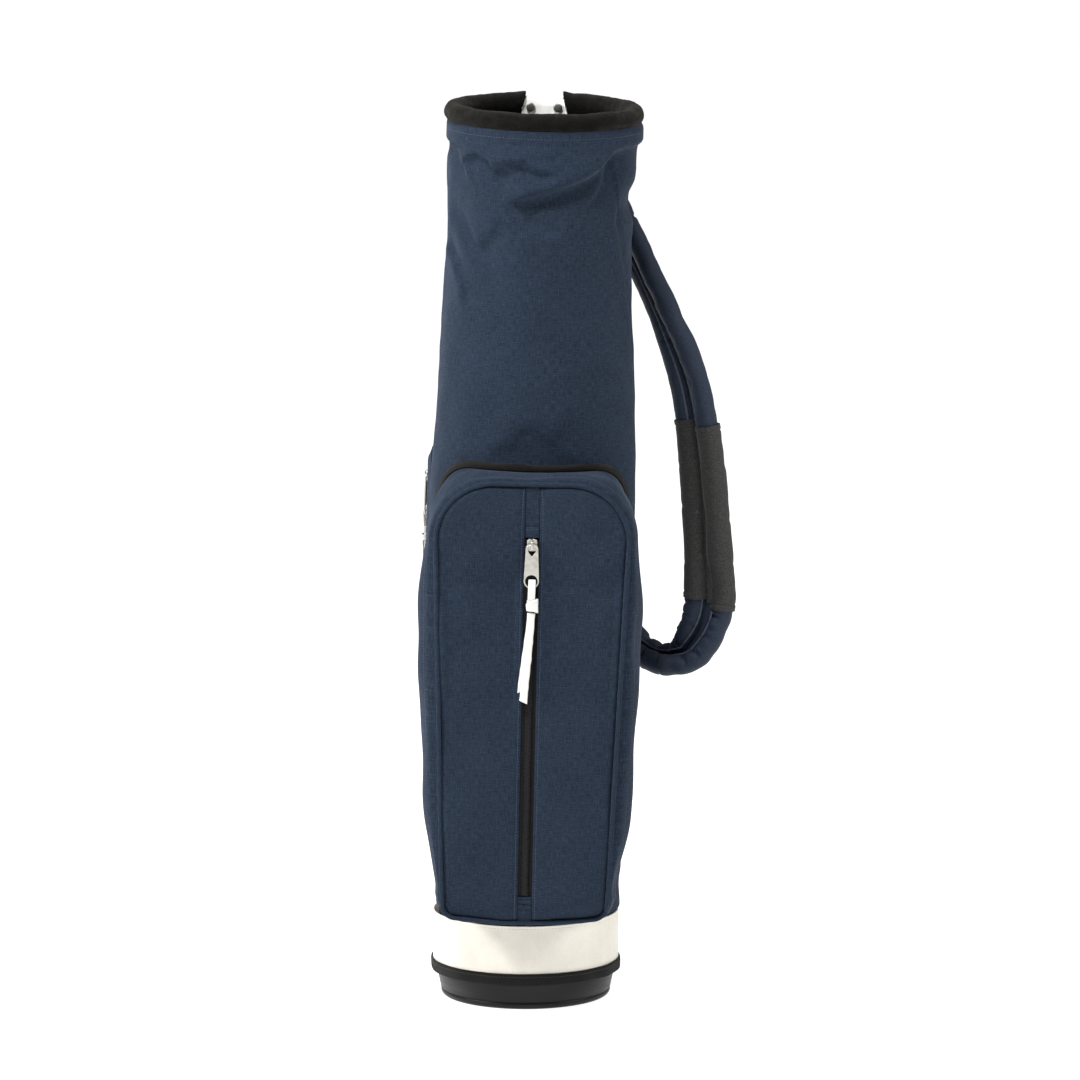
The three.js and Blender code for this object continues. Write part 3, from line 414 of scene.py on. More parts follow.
def stud(name, matrix, at, out, radius, height, material, body, nodes):
    """A domed rivet head, its flat side at a point."""
    dome = [(0.02, 0), (radius, 0), (radius, 0.28 * height), (0.93 * radius, 0.45 * height)]
    turns = np.linspace(0.2, 1.5, 9)
    dome += [(radius * 0.93 * math.cos(a), height * (0.45 + 0.55 * math.sin(a))) for a in turns]
    dome += [(0.02, height)]
    rows = np.array(dome)
    angle = np.arange(28) / 28 * TAU
    out = unit(np.array(out, float))
    side = unit(np.cross(out, [0, 0, 1.0]))
    up = np.cross(side, out)
    ring = np.cos(angle)[:, None] * side + np.sin(angle)[:, None] * -up
    sections = np.array(at) + rows[:, 0][:, None, None] * ring[None] + rows[:, 1][:, None, None] * out
    points, faces = tube_part(sections)
    return joined(name, [(points, faces)], matrix, material, body, nodes, sharp=35)


# ---------------------------------------------------------------- materials
class Finish:
    """A node material under construction. Inputs are numbers, colours or other nodes' outputs."""

    def __init__(self, name, **settings):
        self.material = bpy.data.materials.new(name)
        self.material.use_nodes = True
        self.tree = self.material.node_tree
        self.shader = self.tree.nodes["Principled BSDF"]
        for key, value in settings.items():
            self.shader.inputs[key.replace("_", " ")].default_value = value

    def node(self, kind, inputs=(), output=0, **attributes):
        new = self.tree.nodes.new(kind)
        for key, value in attributes.items():
            setattr(new, key, value)
        for key, value in dict(inputs).items():
            self.feed(new.inputs[key], value)
        return new.outputs[output]

    def feed(self, socket, value):
        if isinstance(value, bpy.types.NodeSocket):
            self.tree.links.new(value, socket)
        else:
            socket.default_value = value

    def set(self, **inputs):
        for key, value in inputs.items():
            self.feed(self.shader.inputs[key.replace("_", " ")], value)
        return self

    def cloth(self):
        """The distance across and up the cloth, in metres."""
        return self.node("ShaderNodeUVMap", uv_map="cloth")

    def here(self):
        """The place in the object's own space, in metres."""
        return self.node("ShaderNodeTexCoord", output=3)

    def scaled(self, vector, scale, shift=(0, 0, 0)):
        return self.node("ShaderNodeMapping", {"Vector": vector, "Scale": scale, "Location": shift})

    def noise(self, vector, scale=1, detail=2, rough=0.5):
        inputs = {"Vector": vector, "Scale": scale, "Detail": detail, "Roughness": rough}
        return self.node("ShaderNodeTexNoise", inputs)

    def maths(self, operation, a, b=0.0, c=0.0):
        new = self.tree.nodes.new("ShaderNodeMath")
        new.operation = operation
        for socket, value in zip(new.inputs, (a, b, c)):
            self.feed(socket, value)
        return new.outputs[0]

    def ramp(self, value, low, high, start=0.0, end=1.0):
        """A number stretched from low..high to start..end."""
        return self.node("ShaderNodeMapRange", {0: value, 1: low, 2: high, 3: start, 4: end})

    def mix(self, factor, a, b):
        new = self.tree.nodes.new("ShaderNodeMix")
        new.data_type = "RGBA"
        self.feed(new.inputs[0], factor)
        self.feed(new.inputs[6], a)
        self.feed(new.inputs[7], b)
        return new.outputs[2]

    def height(self, value, distance, strength=1.0):
        """Bump from a height of 0 to 1 over a distance in metres."""
        inputs = {"Height": value, "Distance": distance, "Strength": strength}
        self.set(Normal=self.node("ShaderNodeBump", inputs))
        return self


def colour(red, green, blue):
    return (red, green, blue, 1)


def threads(finish, uv, pitch):
    """Plain weave: height of the threads, and 1 where the warp lies on top."""
    finish.node("ShaderNodeSeparateXYZ", {0: uv})
    split = finish.tree.nodes[-1]
    u = finish.maths("MULTIPLY", split.outputs[0], math.pi / pitch)
    v = finish.maths("MULTIPLY", split.outputs[1], math.pi / pitch)
    warp = finish.maths("SINE", u)
    weft = finish.maths("SINE", v)
    over = finish.maths("MULTIPLY", warp, weft)
    return finish.ramp(over, -0.7, 0.7), split


def canvas(name, dark, light, sheen=0.1):
    """Cross-dyed canvas: dark and light threads with slubs, and a faint grid of thicker threads."""
    finish = Finish(name, Roughness=0.9, Specular_IOR_Level=0.18, Sheen_Weight=sheen, Sheen_Roughness=0.3)
    finish.shader.inputs["Sheen Tint"].default_value = colour(0.55, 0.68, 0.95)
    uv = finish.cloth()
    weave, split = threads(finish, uv, 0.00055)
    upright = finish.noise(finish.scaled(uv, (1800, 130, 1)), detail=3)
    level = finish.noise(finish.scaled(uv, (130, 1800, 1), (7, 3, 0)), detail=3)
    slubs = finish.maths("ADD", upright, level)
    cloudy = finish.noise(finish.here(), scale=24, detail=4, rough=0.6)
    grid_u = finish.maths("FRACT", finish.maths("MULTIPLY", split.outputs[0], 1 / 0.0052))
    grid_v = finish.maths("FRACT", finish.maths("MULTIPLY", split.outputs[1], 1 / 0.0052))
    grid = finish.maths("MAXIMUM", finish.maths("LESS_THAN", grid_u, 0.13),
                        finish.maths("LESS_THAN", grid_v, 0.13))
    amount = finish.maths("MULTIPLY_ADD", weave, 0.34, finish.ramp(slubs, 0.72, 1.28, -0.22, 0.62))
    amount = finish.maths("MULTIPLY_ADD", grid, 0.1, amount)
    amount = finish.maths("ADD", amount, finish.ramp(cloudy, 0.3, 0.7, -0.05, 0.05))
    finish.set(Base_Color=finish.mix(amount, dark, light))
    relief = finish.maths("MULTIPLY_ADD", slubs, 0.5, weave)
    return finish.height(relief, 0.00022, 0.55).material


def strap_cloth():
    """Smooth padded cloth with a fine twill line and a little shine."""
    finish = Finish("strap_cloth", Roughness=0.66, Specular_IOR_Level=0.3, Sheen_Weight=0.07,
                    Sheen_Roughness=0.3)
    finish.shader.inputs["Sheen Tint"].default_value = colour(0.4, 0.55, 0.9)
    uv = finish.cloth()
    wave = finish.node("ShaderNodeTexWave", {"Vector": finish.scaled(uv, (1, 1, 1)), "Scale": 420,
                                            "Distortion": 0.6, "Detail": 1}, output=1,
                       bands_direction="DIAGONAL")
    mottle = finish.noise(finish.scaled(uv, (260, 900, 1)), detail=3)
    amount = finish.maths("MULTIPLY_ADD", wave, 0.25, finish.ramp(mottle, 0.3, 0.7, 0.05, 0.75))
    finish.set(Base_Color=finish.mix(amount, colour(0.0048, 0.009, 0.019), colour(0.0168, 0.028, 0.052)))
    return finish.height(finish.maths("ADD", wave, mottle), 0.00015, 0.5).material


def velour(name, pile_and_sheen_tone):
    """Short black pile with brushed patches; its colour is also painted lighter towards grazing angles, a
    painted sheen.
    """
    finish = Finish(name, Roughness=1, Specular_IOR_Level=0.05, Sheen_Weight=0.06, Sheen_Roughness=0.35)
    finish.shader.inputs["Sheen Tint"].default_value = colour(0.62, 0.6, 0.56)
    here = finish.here()
    pile = finish.noise(here, scale=1900, detail=2)
    brushed = finish.noise(finish.scaled(here, (1, 1, 1.6)), scale=85, detail=4, rough=0.6)
    amount = finish.maths("MULTIPLY", finish.ramp(pile, 0.3, 0.75), finish.ramp(brushed, 0.3, 0.7, 0.35, 1))
    # painted sheen: the base colour is lightened where the pile is seen at a grazing angle
    painted_sheen_facing = finish.node("ShaderNodeLayerWeight", {"Blend": 0.35}, output=1)
    amount = finish.maths("MULTIPLY", amount, finish.ramp(painted_sheen_facing, 0.1, 0.85, 0.35, 1.7))
    finish.set(Base_Color=finish.mix(amount, colour(0.0025, 0.0025, 0.0025),
                                     colour(pile_and_sheen_tone, 0.95 * pile_and_sheen_tone, 0.83 * pile_and_sheen_tone)))
    return finish.height(finish.maths("MULTIPLY_ADD", brushed, 1.4, pile), 0.0006, 0.9).material


def ribbed(name, pitch, dark, light, along=0):
    """Grosgrain or webbing, with ribs square to its length."""
    finish = Finish(name, Roughness=0.85, Specular_IOR_Level=0.2, Sheen_Weight=0.05, Sheen_Roughness=0.35)
    uv = finish.cloth()
    split = finish.node("ShaderNodeSeparateXYZ", {0: uv}, output=along)
    ribs = finish.ramp(finish.maths("SINE", finish.maths("MULTIPLY", split, TAU / pitch)), -1, 1)
    fibres = finish.noise(finish.scaled(uv, (2600, 2600, 1)), detail=2)
    finish.set(Base_Color=finish.mix(finish.maths("MULTIPLY", ribs, finish.ramp(fibres, 0.25, 0.75)), dark,
                                     light))
    return finish.height(finish.maths("MULTIPLY_ADD", fibres, 0.4, ribs), 0.00035, 0.8).material


def grained(name, dark, light, rough=0.5, grain=900, depth=0.00012, coat=0.0, soil=0.15):
    """Coated cloth or leather: a fine pebble grain and a little soiling."""
    finish = Finish(name, Specular_IOR_Level=0.45, Coat_Weight=coat, Coat_Roughness=0.3)
    here = finish.here()
    cells = finish.node("ShaderNodeTexVoronoi", {"Vector": here, "Scale": grain}, feature="SMOOTH_F1")
    pores = finish.noise(here, scale=grain * 2.2, detail=2)
    smudges = finish.noise(here, scale=22, detail=5, rough=0.65)
    marks = finish.maths("MULTIPLY_ADD", finish.ramp(cells, 0.1, 0.7), 0.3,
                         finish.ramp(smudges, 0.35, 0.75, 0, soil * 4))
    finish.set(Base_Color=finish.mix(marks, light, dark))
    finish.set(Roughness=finish.ramp(pores, 0.3, 0.7, rough - 0.07, rough + 0.09))
    return finish.height(finish.maths("MULTIPLY_ADD", pores, 0.35, cells), depth, 0.7).material


def grip_cloth():
    """Non-slip black cloth with a coarse pebbled grain; its pebble tops are painted lighter in patches,
    partly dust and partly painted highlight.
    """
    finish = Finish("grip_cloth", Roughness=0.75, Specular_IOR_Level=0.35, Sheen_Weight=0.06,
                    Sheen_Roughness=0.35)
    here = finish.here()
    pebbles = finish.node("ShaderNodeTexVoronoi", {"Vector": here, "Scale": 1150}, feature="SMOOTH_F1")
    dusty_painted_highlight = finish.noise(here, scale=640, detail=4, rough=0.7)
    # painted highlight with dust: the pebble tops are lighter where the noise is high
    amount = finish.maths("MULTIPLY", finish.ramp(dusty_painted_highlight, 0.35, 0.72), finish.ramp(pebbles, 0.75, 0.15))
    finish.set(Base_Color=finish.mix(amount, colour(0.013, 0.013, 0.013), colour(0.062, 0.06, 0.056)))
    return finish.height(pebbles, 0.00045, -0.8).material


def moulded():
    """Satin black polymer with a fine spark-eroded texture and light scuffs."""
    finish = Finish("moulded", Specular_IOR_Level=0.22)
    here = finish.here()
    speckle = finish.noise(here, scale=1500, detail=3)
    scuffs = finish.noise(finish.scaled(here, (1, 1, 14)), scale=24, detail=6, rough=0.7)
    finish.set(Base_Color=finish.mix(finish.ramp(scuffs, 0.5, 0.8), colour(0.004, 0.0039, 0.0038),
                                     colour(0.011, 0.0106, 0.0102)))
    finish.set(Roughness=finish.ramp(scuffs, 0.3, 0.8, 0.36, 0.56))
    return finish.height(speckle, 0.00012, 0.5).material


def metal(name, tone, rough, wear=0.12):
    """Plated or drawn metal with hairline scratches and duller patches."""
    finish = Finish(name, Metallic=1.0)
    here = finish.here()
    patches = finish.noise(here, scale=130, detail=5, rough=0.65)
    scratches = finish.noise(finish.scaled(here, (1, 1, 0.06)), scale=5200, detail=2)
    darker = tuple(0.62 * c for c in tone[:3]) + (1,)
    finish.set(Base_Color=finish.mix(finish.ramp(patches, 0.45, 0.8), tone, darker))
    finish.set(Roughness=finish.ramp(finish.maths("ADD", patches, scratches), 0.7, 1.4, rough, rough + wear))
    return finish.height(scratches, 0.00002, 0.35).material


def nylon_coil():
    finish = Finish("coil_nylon", Specular_IOR_Level=0.34)
    here = finish.here()
    grain = finish.noise(here, scale=2400, detail=2)
    finish.set(Base_Color=finish.mix(grain, colour(0.0035, 0.0035, 0.0037), colour(0.012, 0.012, 0.013)))
    finish.set(Roughness=finish.ramp(grain, 0.3, 0.7, 0.44, 0.6))
    return finish.height(grain, 0.00004, 0.4).material


def thread(name, dark, light):
    """Twisted sewing thread."""
    finish = Finish(name, Roughness=0.6, Specular_IOR_Level=0.4, Sheen_Weight=0.2)
    here = finish.here()
    plies = finish.noise(here, scale=3200, detail=2)
    finish.set(Base_Color=finish.mix(finish.ramp(plies, 0.3, 0.7), dark, light))
    return finish.height(plies, 0.0001, 0.6).material


def glass_rod():
    """Pultruded glass fibre, with lines along the rod."""
    finish = Finish("glass_rod", Specular_IOR_Level=0.5, Coat_Weight=0.3)
    lines = finish.noise(finish.scaled(finish.here(), (1, 1, 0.03)), scale=2600, detail=3)
    finish.set(Base_Color=finish.mix(lines, colour(0.36, 0.34, 0.24), colour(0.58, 0.56, 0.42)))
    finish.set(Roughness=finish.ramp(lines, 0.3, 0.7, 0.3, 0.5))
    return finish.height(lines, 0.00008, 0.5).material


CANVAS = canvas("canvas", colour(0.0042, 0.0083, 0.0166), colour(0.0232, 0.0388, 0.066))
LINING = canvas("lining_cloth", colour(0.006, 0.007, 0.008), colour(0.028, 0.029, 0.032), sheen=0.1)
STRAP_CLOTH = strap_cloth()
VELOUR = velour("velour", 0.04)
# The same velour painted darker for the lining inside the mouth: painted shade.
VELOUR_PAINTED_SHADE = velour("velour_inside_painted_shade", 0.013)
GROSGRAIN = ribbed("grosgrain", 0.0011, colour(0.003, 0.003, 0.003), colour(0.021, 0.02, 0.019))
GROSGRAIN_ALONG = ribbed("grosgrain_along", 0.0011, colour(0.004, 0.0037, 0.0033),
                         colour(0.026, 0.024, 0.021), along=1)
WEBBING_ALONG = ribbed("webbing_along", 0.0016, colour(0.004, 0.004, 0.004), colour(0.024, 0.023, 0.022),
                       along=1)
ZIP_CLOTH = ribbed("zip_cloth", 0.0007, colour(0.005, 0.005, 0.0055), colour(0.022, 0.022, 0.023), along=1)
# The mouth tab is the vinyl painted lighter: painted light from the strong top lamp.
TAB_PAINTED_LIGHT = grained("tab_painted_light", colour(0.78, 0.765, 0.72), colour(0.9, 0.89, 0.86), rough=0.5, grain=1300,
                   soil=0.06)
VINYL = grained("vinyl", colour(0.6, 0.565, 0.48), colour(0.80, 0.765, 0.685), rough=0.46, grain=1100,
                soil=0.12)
LACE = grained("lace_hide", colour(0.55, 0.535, 0.49), colour(0.72, 0.71, 0.69), rough=0.55, grain=1500,
               soil=0.08)
GRIP = grip_cloth()
MOULDED = moulded()
COIL = nylon_coil()
NICKEL = metal("nickel_plate", colour(0.53, 0.52, 0.475), 0.4)
GUNMETAL = metal("gunmetal_plate", colour(0.24, 0.235, 0.225), 0.42)
STEEL = metal("drawn_steel", colour(0.45, 0.45, 0.46), 0.3)
GLASS_ROD = glass_rod()
NAVY_THREAD = thread("navy_thread", colour(0.010, 0.016, 0.032), colour(0.046, 0.064, 0.104))
CREAM_THREAD = thread("cream_thread", colour(0.42, 0.39, 0.33), colour(0.66, 0.63, 0.55))
BLACK_THREAD = thread("black_thread", colour(0.004, 0.004, 0.004), colour(0.03, 0.03, 0.03))
STRAP_PIPING = thread("strap_piping", colour(0.018, 0.026, 0.045), colour(0.075, 0.095, 0.14))


# ---------------------------------------------------------------- the canvas tube's outer surface
# Each row is a height and the distance there from the leaning group's axis to the tube's edge, as
# seen from the front and without folds.
LEFT_EDGE = [
    (56, 87.9), (88.6, 87.9), (91.5, 91.4), (102, 91), (117, 92), (132, 94), (200, 97),
    (300, 100.5), (400, 104), (464, 105.5), (524, 104.2), (585, 100.7), (645, 98.6), (706, 95.4),
    (757, 92.6), (800, 93.3), (834, 94.2), (847, 92.2), (851, 92.4), (857, 95.0), (870.6, 94.8),
    (873.6, 94.0),
]
RIGHT_EDGE = [
    (56, 87.9), (88.6, 87.9), (91.5, 91.4), (102, 91), (117, 90.2), (132, 92), (200, 93),
    (300, 94.5), (400, 96.5), (464, 97.8), (524, 97.6), (585, 95.7), (645, 93.4), (706, 90.6),
    (757, 89.4), (800, 89.6), (826, 91.6), (845, 91.4), (852, 92.4), (858, 96.8), (868, 96.8),
    (873.6, 94.6),
]


def back_radius(height):
    """The tube's radius towards the front and the back: plain inside the cuff, growing above it."""
    above = np.asarray(height, float) - CUFF_TOP
    grown_radius = BACK_LOW + BACK_GROWTH * above / (TUBE_TOP - CUFF_TOP)
    return np.where(np.asarray(height) < 88.7, TAIL_RADIUS, grown_radius)


def sway(height):
    """How far the soft tube hangs over to -X from its straight line: most at half height."""
    above = np.maximum(0, np.asarray(height, float) - CUFF_TOP)
    return -SWAY * np.sin(math.pi * above / (TUBE_TOP - CUFF_TOP))


# Folds pressed into the soft canvas. Each has a depth, the width of its step, how far it fades
# out, and a line of (degrees from the front towards +X, height); the cloth is raised to the left
# of the line's direction and drops on its right, or the other way round where depth is negative.
FOLDS = [
    (12.0, 5.6, 24, [(-27, 798), (-18, 803), (-5, 809), (12, 818), (28, 828), (35, 834), (42, 843),
                     (50, 850), (63, 851)]),
    (2.9, 4.0, 17, [(20, 789), (27, 797), (36, 809), (42, 822), (45, 834), (50, 848)]),
    (5.6, 3.4, 14, [(-58, 834), (-54, 841), (-44, 848), (-36, 845), (-32, 838), (-24, 835), (-14, 834)]),
    (6.6, 4.0, 15, [(-32, 842), (-13, 842), (-6, 837), (9, 830)]),
    (2.4, 3.0, 11, [(-14, 849), (9, 849)]),
    (4.4, 4.4, 20, [(78, 640), (75, 661), (70, 698), (66, 730), (61, 752), (57, 768), (55, 782), (58, 793),
                    (66, 806)]),
    (2.0, 2.8, 15, [(-84, 850), (-64, 846), (-55, 832), (-50, 818)]),
    (3.9, 4.0, 18, [(-50, 690), (-50, 717), (-59, 737), (-74, 751), (-84, 757)]),
    (-6.0, 9, 28, [(-82, 790), (-62, 777), (-51, 758), (-40, 742), (-28, 734)]),
    (3.8, 7.0, 26, [(-44, 752), (-30, 772), (-24, 792)]),
    (-3.8, 7.0, 22, [(-14, 782), (0, 774), (14, 770)]),
    (3.4, 8.0, 34, [(10, 560), (24, 600), (30, 650)]),
    (2.8, 9.0, 34, [(-30, 548), (-12, 566), (-2, 590)]),
    (2.0, 5.0, 22, [(98, 770), (88, 790), (82, 806), (84, 830)]),
    (2.2, 5.0, 24, [(140, 800), (122, 812), (106, 826), (95, 842)]),
    (2.0, 6.0, 26, [(-150, 806), (-128, 822), (-112, 838)]),
    (2.0, 7.0, 30, [(115, 560), (128, 620), (132, 690)]),
    (2.0, 7.0, 30, [(-150, 640), (-136, 700), (-132, 748)]),
    (1.8, 6.0, 26, [(100, 150), (118, 175), (142, 188)]),
    (1.8, 6.0, 26, [(-100, 140), (-122, 170), (-150, 182)]),
]
# Broad dents: a depth, a middle in degrees and its spread, a height and its spread. A negative
# depth is a bulge.
DENTS = [
    (7.2, 82, 22, 797, 17), (2.0, -60, 24, 770, 30), (-1.8, -30, 22, 775, 26), (-2.2, 10, 26, 800, 20),
    (2.4, 110, 20, 720, 60), (2.0, -118, 16, 640, 60), (1.6, 150, 12, 500, 90), (1.5, 40, 20, 735, 34),
]


def relief(angle, height):
    """How far the canvas stands off its plain shape, in millimetres."""
    angle, height = np.broadcast_arrays(np.asarray(angle, float), np.asarray(height, float))
    across = np.degrees(angle) * MM_PER_DEGREE
    total = np.zeros(angle.shape)
    for depth, width, reach, line in FOLDS:
        line = np.array([(a * MM_PER_DEGREE, h) for a, h in line], float)
        start, end = line[:-1], line[1:]
        nearest = np.full(angle.shape, 1e9)
        signed = np.zeros(angle.shape)
        place_on = np.zeros(angle.shape)
        length = np.linalg.norm(end - start, axis=1)
        run = np.concatenate([[0], np.cumsum(length)])
        for k in range(len(start)):
            step = (end[k] - start[k]) / length[k]
            dx, dy = across - start[k, 0], height - start[k, 1]
            t = np.clip(dx * step[0] + dy * step[1], 0, length[k])
            gap = np.hypot(dx - t * step[0], dy - t * step[1])
            closer = gap < nearest
            nearest = np.where(closer, gap, nearest)
            side = np.sign(step[0] * dy - step[1] * dx)
            signed = np.where(closer, gap * side, signed)
            place_on = np.where(closer, (run[k] + t) / run[-1], place_on)
        ends = smooth(0, 0.22, place_on) * smooth(1, 0.78, place_on)
        total += depth * np.tanh(signed / width) * np.exp(-nearest / reach) * ends
    for depth, centre, wide, level, tall in DENTS:
        total -= depth * bump(np.degrees(angle), centre, wide) * bump(height, level, tall)
    where = np.stack([95 * np.sin(angle), -95 * np.cos(angle), height * 0.8], -1)
    calm = 1 - 0.75 * bump(np.abs(np.degrees(angle)), 92, 24)
    total += calm * (0.8 * ripple(where, 3, 150) + 0.5 * ripple(where, 5, 60)) + 0.12 * ripple(where, 8, 22)
    behind = smooth(180 - 13, 180 - 34, np.abs(np.degrees(angle)))
    under_pocket = 1 - smooth(70, 52, np.abs(np.degrees(angle))) * smooth(560, 540, height)
    side_zip = 1 - bump(np.degrees(angle), -112, 16) * smooth(270, 292, height) * smooth(560, 535, height)
    ends = smooth(92, 118, height) * smooth(TUBE_TOP - 8, HEM_LOW - 8, height)
    return total * behind * under_pocket * side_zip * ends


def on_tube(angle, height, off=0.0, folded=False):
    """A point of the canvas, at an angle from the front towards +X and a height."""
    angle, height = np.broadcast_arrays(np.asarray(angle, float), np.asarray(height, float))
    lift = off + (relief(angle, height) if folded else 0)
    right = profile(RIGHT_EDGE, height) - sway(height)
    left = profile(LEFT_EDGE, height) + sway(height)
    wide = np.where(np.sin(angle) > 0, right, left) + lift
    deep = back_radius(height) + lift
    return np.stack([sway(height) + wide * np.sin(angle), -deep * np.cos(angle), height], -1)


def around(count, start=-math.pi, end=math.pi):
    return start + (end - start) * np.arange(count) / count


# ---------------------------------------------------------------- stitches
def stitches(name, rows, matrix, material, body, pitch=3.4, length=2.5, radius=0.32, sink=0.1):
    """Rows of sewing stitches; each row is a line of points and the outward direction there."""
    points, faces = [], []
    sides = 5
    ring = np.arange(sides) / sides * TAU
    spans = [(-0.5, 0.45), (-0.28, 1), (0.28, 1), (0.5, 0.45)]
    for line, outward in rows:
        line, outward = np.asarray(line, float), np.asarray(outward, float)
        run = np.concatenate([[0], np.cumsum(np.linalg.norm(np.diff(line, axis=0), axis=1))])
        count = max(1, int(run[-1] / pitch))
        for k in range(count):
            s = (k + 0.5) * run[-1] / count
            at = np.array([np.interp(s, run, line[:, c]) for c in range(3)])
            ahead = np.array([np.interp(min(s + 0.8, run[-1]), run, line[:, c]) for c in range(3)])
            behind = np.array([np.interp(max(s - 0.8, 0), run, line[:, c]) for c in range(3)])
            out = unit(np.array([np.interp(s, run, outward[:, c]) for c in range(3)]))
            forward = unit(ahead - behind)
            side = np.cross(forward, out)
            base = len(points)
            for t, scale in spans:
                middle = at + forward * t * length - out * (sink + 0.5 * radius * (1 - scale))
                for a in ring:
                    points.append(middle + radius * scale * (math.cos(a) * side + 0.8 * math.sin(a) * out))
            for r in range(len(spans) - 1):
                for j in range(sides):
                    n = (j + 1) % sides
                    faces.append([base + r * sides + j, base + r * sides + n,
                                  base + (r + 1) * sides + n, base + (r + 1) * sides + j])
            faces.append([base + j for j in range(sides)][::-1])
            faces.append([base + (len(spans) - 1) * sides + j for j in range(sides)])
    return add_mesh(name, place(points, matrix), faces, None, material, body, sharp=80)


# ---------------------------------------------------------------- base, cuff and binding
def make_base():
    turns = np.linspace(0, math.pi / 2, 9)
    rounding = [(BASE_RADIUS - 5 + 5 * math.sin(a), 5 - 5 * math.cos(a)) for a in turns]
    inner = BASE_RADIUS - 2.5
    rows = [(0.02, 0.9), (60, 0.9), (61.5, 0), *rounding, (BASE_RADIUS, 5.6), (BASE_RADIUS - 0.6, 6.2),
            (BASE_RADIUS - 0.6, 7.2),
            (BASE_RADIUS + 0.3, 7.8), (BASE_RADIUS + 4.0, 25.0), (BASE_RADIUS + 3.2, 25.9),
            (BASE_RADIUS + 0.9, 26.3), (BASE_RADIUS + 0.9, 53.4),
            (BASE_RADIUS + 0.3, 54), (inner + 0.6, 54), (inner, 53.4), (inner, 9), (inner - 1.2, 5.4),
            (inner - 4.5, 4), (0.02, 4)]
    lathe("moulded_base", rows, WORLD, MOULDED, "shell", ["base_boot"], steps=128)


def cuff_wobble(angle, height):
    where = np.stack(np.broadcast_arrays(90 * np.sin(angle), 90 * np.cos(angle), height * 1.0), -1)
    waves = 0.35 * ripple(where, 21, 70) + 0.12 * ripple(where, 22, 24)
    return waves * smooth(CUFF_LOW, 44, height) * smooth(88, 78, height)


def make_cuff():
    r = CUFF_RADIUS
    heights = np.concatenate([[CUFF_LOW], np.linspace(CUFF_LOW + 1, CUFF_TOP - 1.2, 26), [CUFF_TOP - 0.4]])
    dip = -0.3 * bump(heights, CUFF_TOP - 3.2, 1.1) - 0.25 * bump(heights, BINDING_TOP + 2.4, 1.2)
    outer = [(r + d, h) for h, d in zip(heights, dip)] + [(r - 0.5, CUFF_TOP), (r - 1.2, CUFF_TOP)]
    inner = [(r - 1.8, CUFF_TOP - 0.6), (r - 1.8, 60), (r - 1.8, CUFF_LOW)]
    lathe("vinyl_cuff", outer + inner, WORLD, VINYL, "shell", ["cuff_band"], steps=180,
          wobble=cuff_wobble)
    angle = around(241, 0, TAU * 241 / 240)
    rows = []
    for height in (CUFF_TOP - 3.2, BINDING_TOP + 2.4):
        reach = r - 0.25 + cuff_wobble(angle, height)
        line = np.stack([reach * np.sin(angle), -reach * np.cos(angle), np.full(len(angle), height)], -1)
        rows.append((line, np.stack([np.sin(angle), -np.cos(angle), 0 * angle], -1)))
    stitches("cuff_stitches", rows, WORLD, CREAM_THREAD, "shell", pitch=3.6, length=2.7,
             radius=0.3)


def binding_wobble(angle, height):
    where = np.stack(np.broadcast_arrays(90 * np.sin(angle), 90 * np.cos(angle), 0 * height), -1)
    return 0.3 * ripple(where, 31, 30)


def make_binding():
    r = CUFF_RADIUS
    cuff_inner = r - 1.8
    low, top = BINDING_LOW, BINDING_TOP
    rows = [(cuff_inner - 2.2, low + 0.4), (cuff_inner - 1.8, low), (r + 1.2, low), (r + 1.7, low + 0.5),
            (r + 1.9, low + 3),
            (r + 2.0, low + 6), (r + 1.9, top - 2.5), (r + 1.6, top - 0.4), (r + 1.2, top), (r + 0.5, top),
            (r + 0.4, top - 0.4),
            (r + 0.4, CUFF_LOW - 0.4), (cuff_inner - 0.4, CUFF_LOW - 0.4), (cuff_inner - 0.4, top - 2),
            (cuff_inner - 2.2, top - 2)]
    lathe("cuff_tape", rows, WORLD, GROSGRAIN, "shell", ["cuff_binding"], steps=200,
          wobble=binding_wobble)
    angle = around(241, 0, TAU * 241 / 240)
    reach = r + 2.0 + binding_wobble(angle, 0 * angle)
    line = np.stack([reach * np.sin(angle), -reach * np.cos(angle), np.full(len(angle), top - 3.2)], -1)
    outward = np.stack([np.sin(angle), -np.cos(angle), 0 * angle], -1)
    stitches("cuff_tape_stitches", [(line, outward)], WORLD, BLACK_THREAD, "shell", pitch=3.4,
             radius=0.3)


make_base()
make_cuff()
make_binding()


# ---------------------------------------------------------------- canvas tube, liner and mouth
def make_tube():
    heights = np.concatenate([np.linspace(TUBE_TAIL, 88.6, 6), np.linspace(89.4, 100, 7),
                              np.linspace(103, 700, 150),
                              np.linspace(702.2, TUBE_TOP + 3, 90)])
    angle = around(320)
    grid = on_tube(angle[None], heights[:, None], folded=True)
    hem = 0.7 * smooth(HEM_LOW - 1.2, HEM_LOW + 0.6, heights)
    grid += normals(grid, True) * hem[:, None, None]
    surface("canvas_tube", grid, 1.8, UPPER, CANVAS, "shell", ["body_tube"], looped=True)
    turn = around(361, -math.pi + 0.2, math.pi - 0.2)
    line = on_tube(turn, np.full(len(turn), TUBE_TOP - 4.6), 0.75, folded=True)
    outward = np.stack([np.sin(turn), -np.cos(turn), 0 * turn], -1)
    stitches("mouth_stitches", [(line, outward)], UPPER, NAVY_THREAD, "shell", pitch=3.2,
             radius=0.28, sink=0.18)


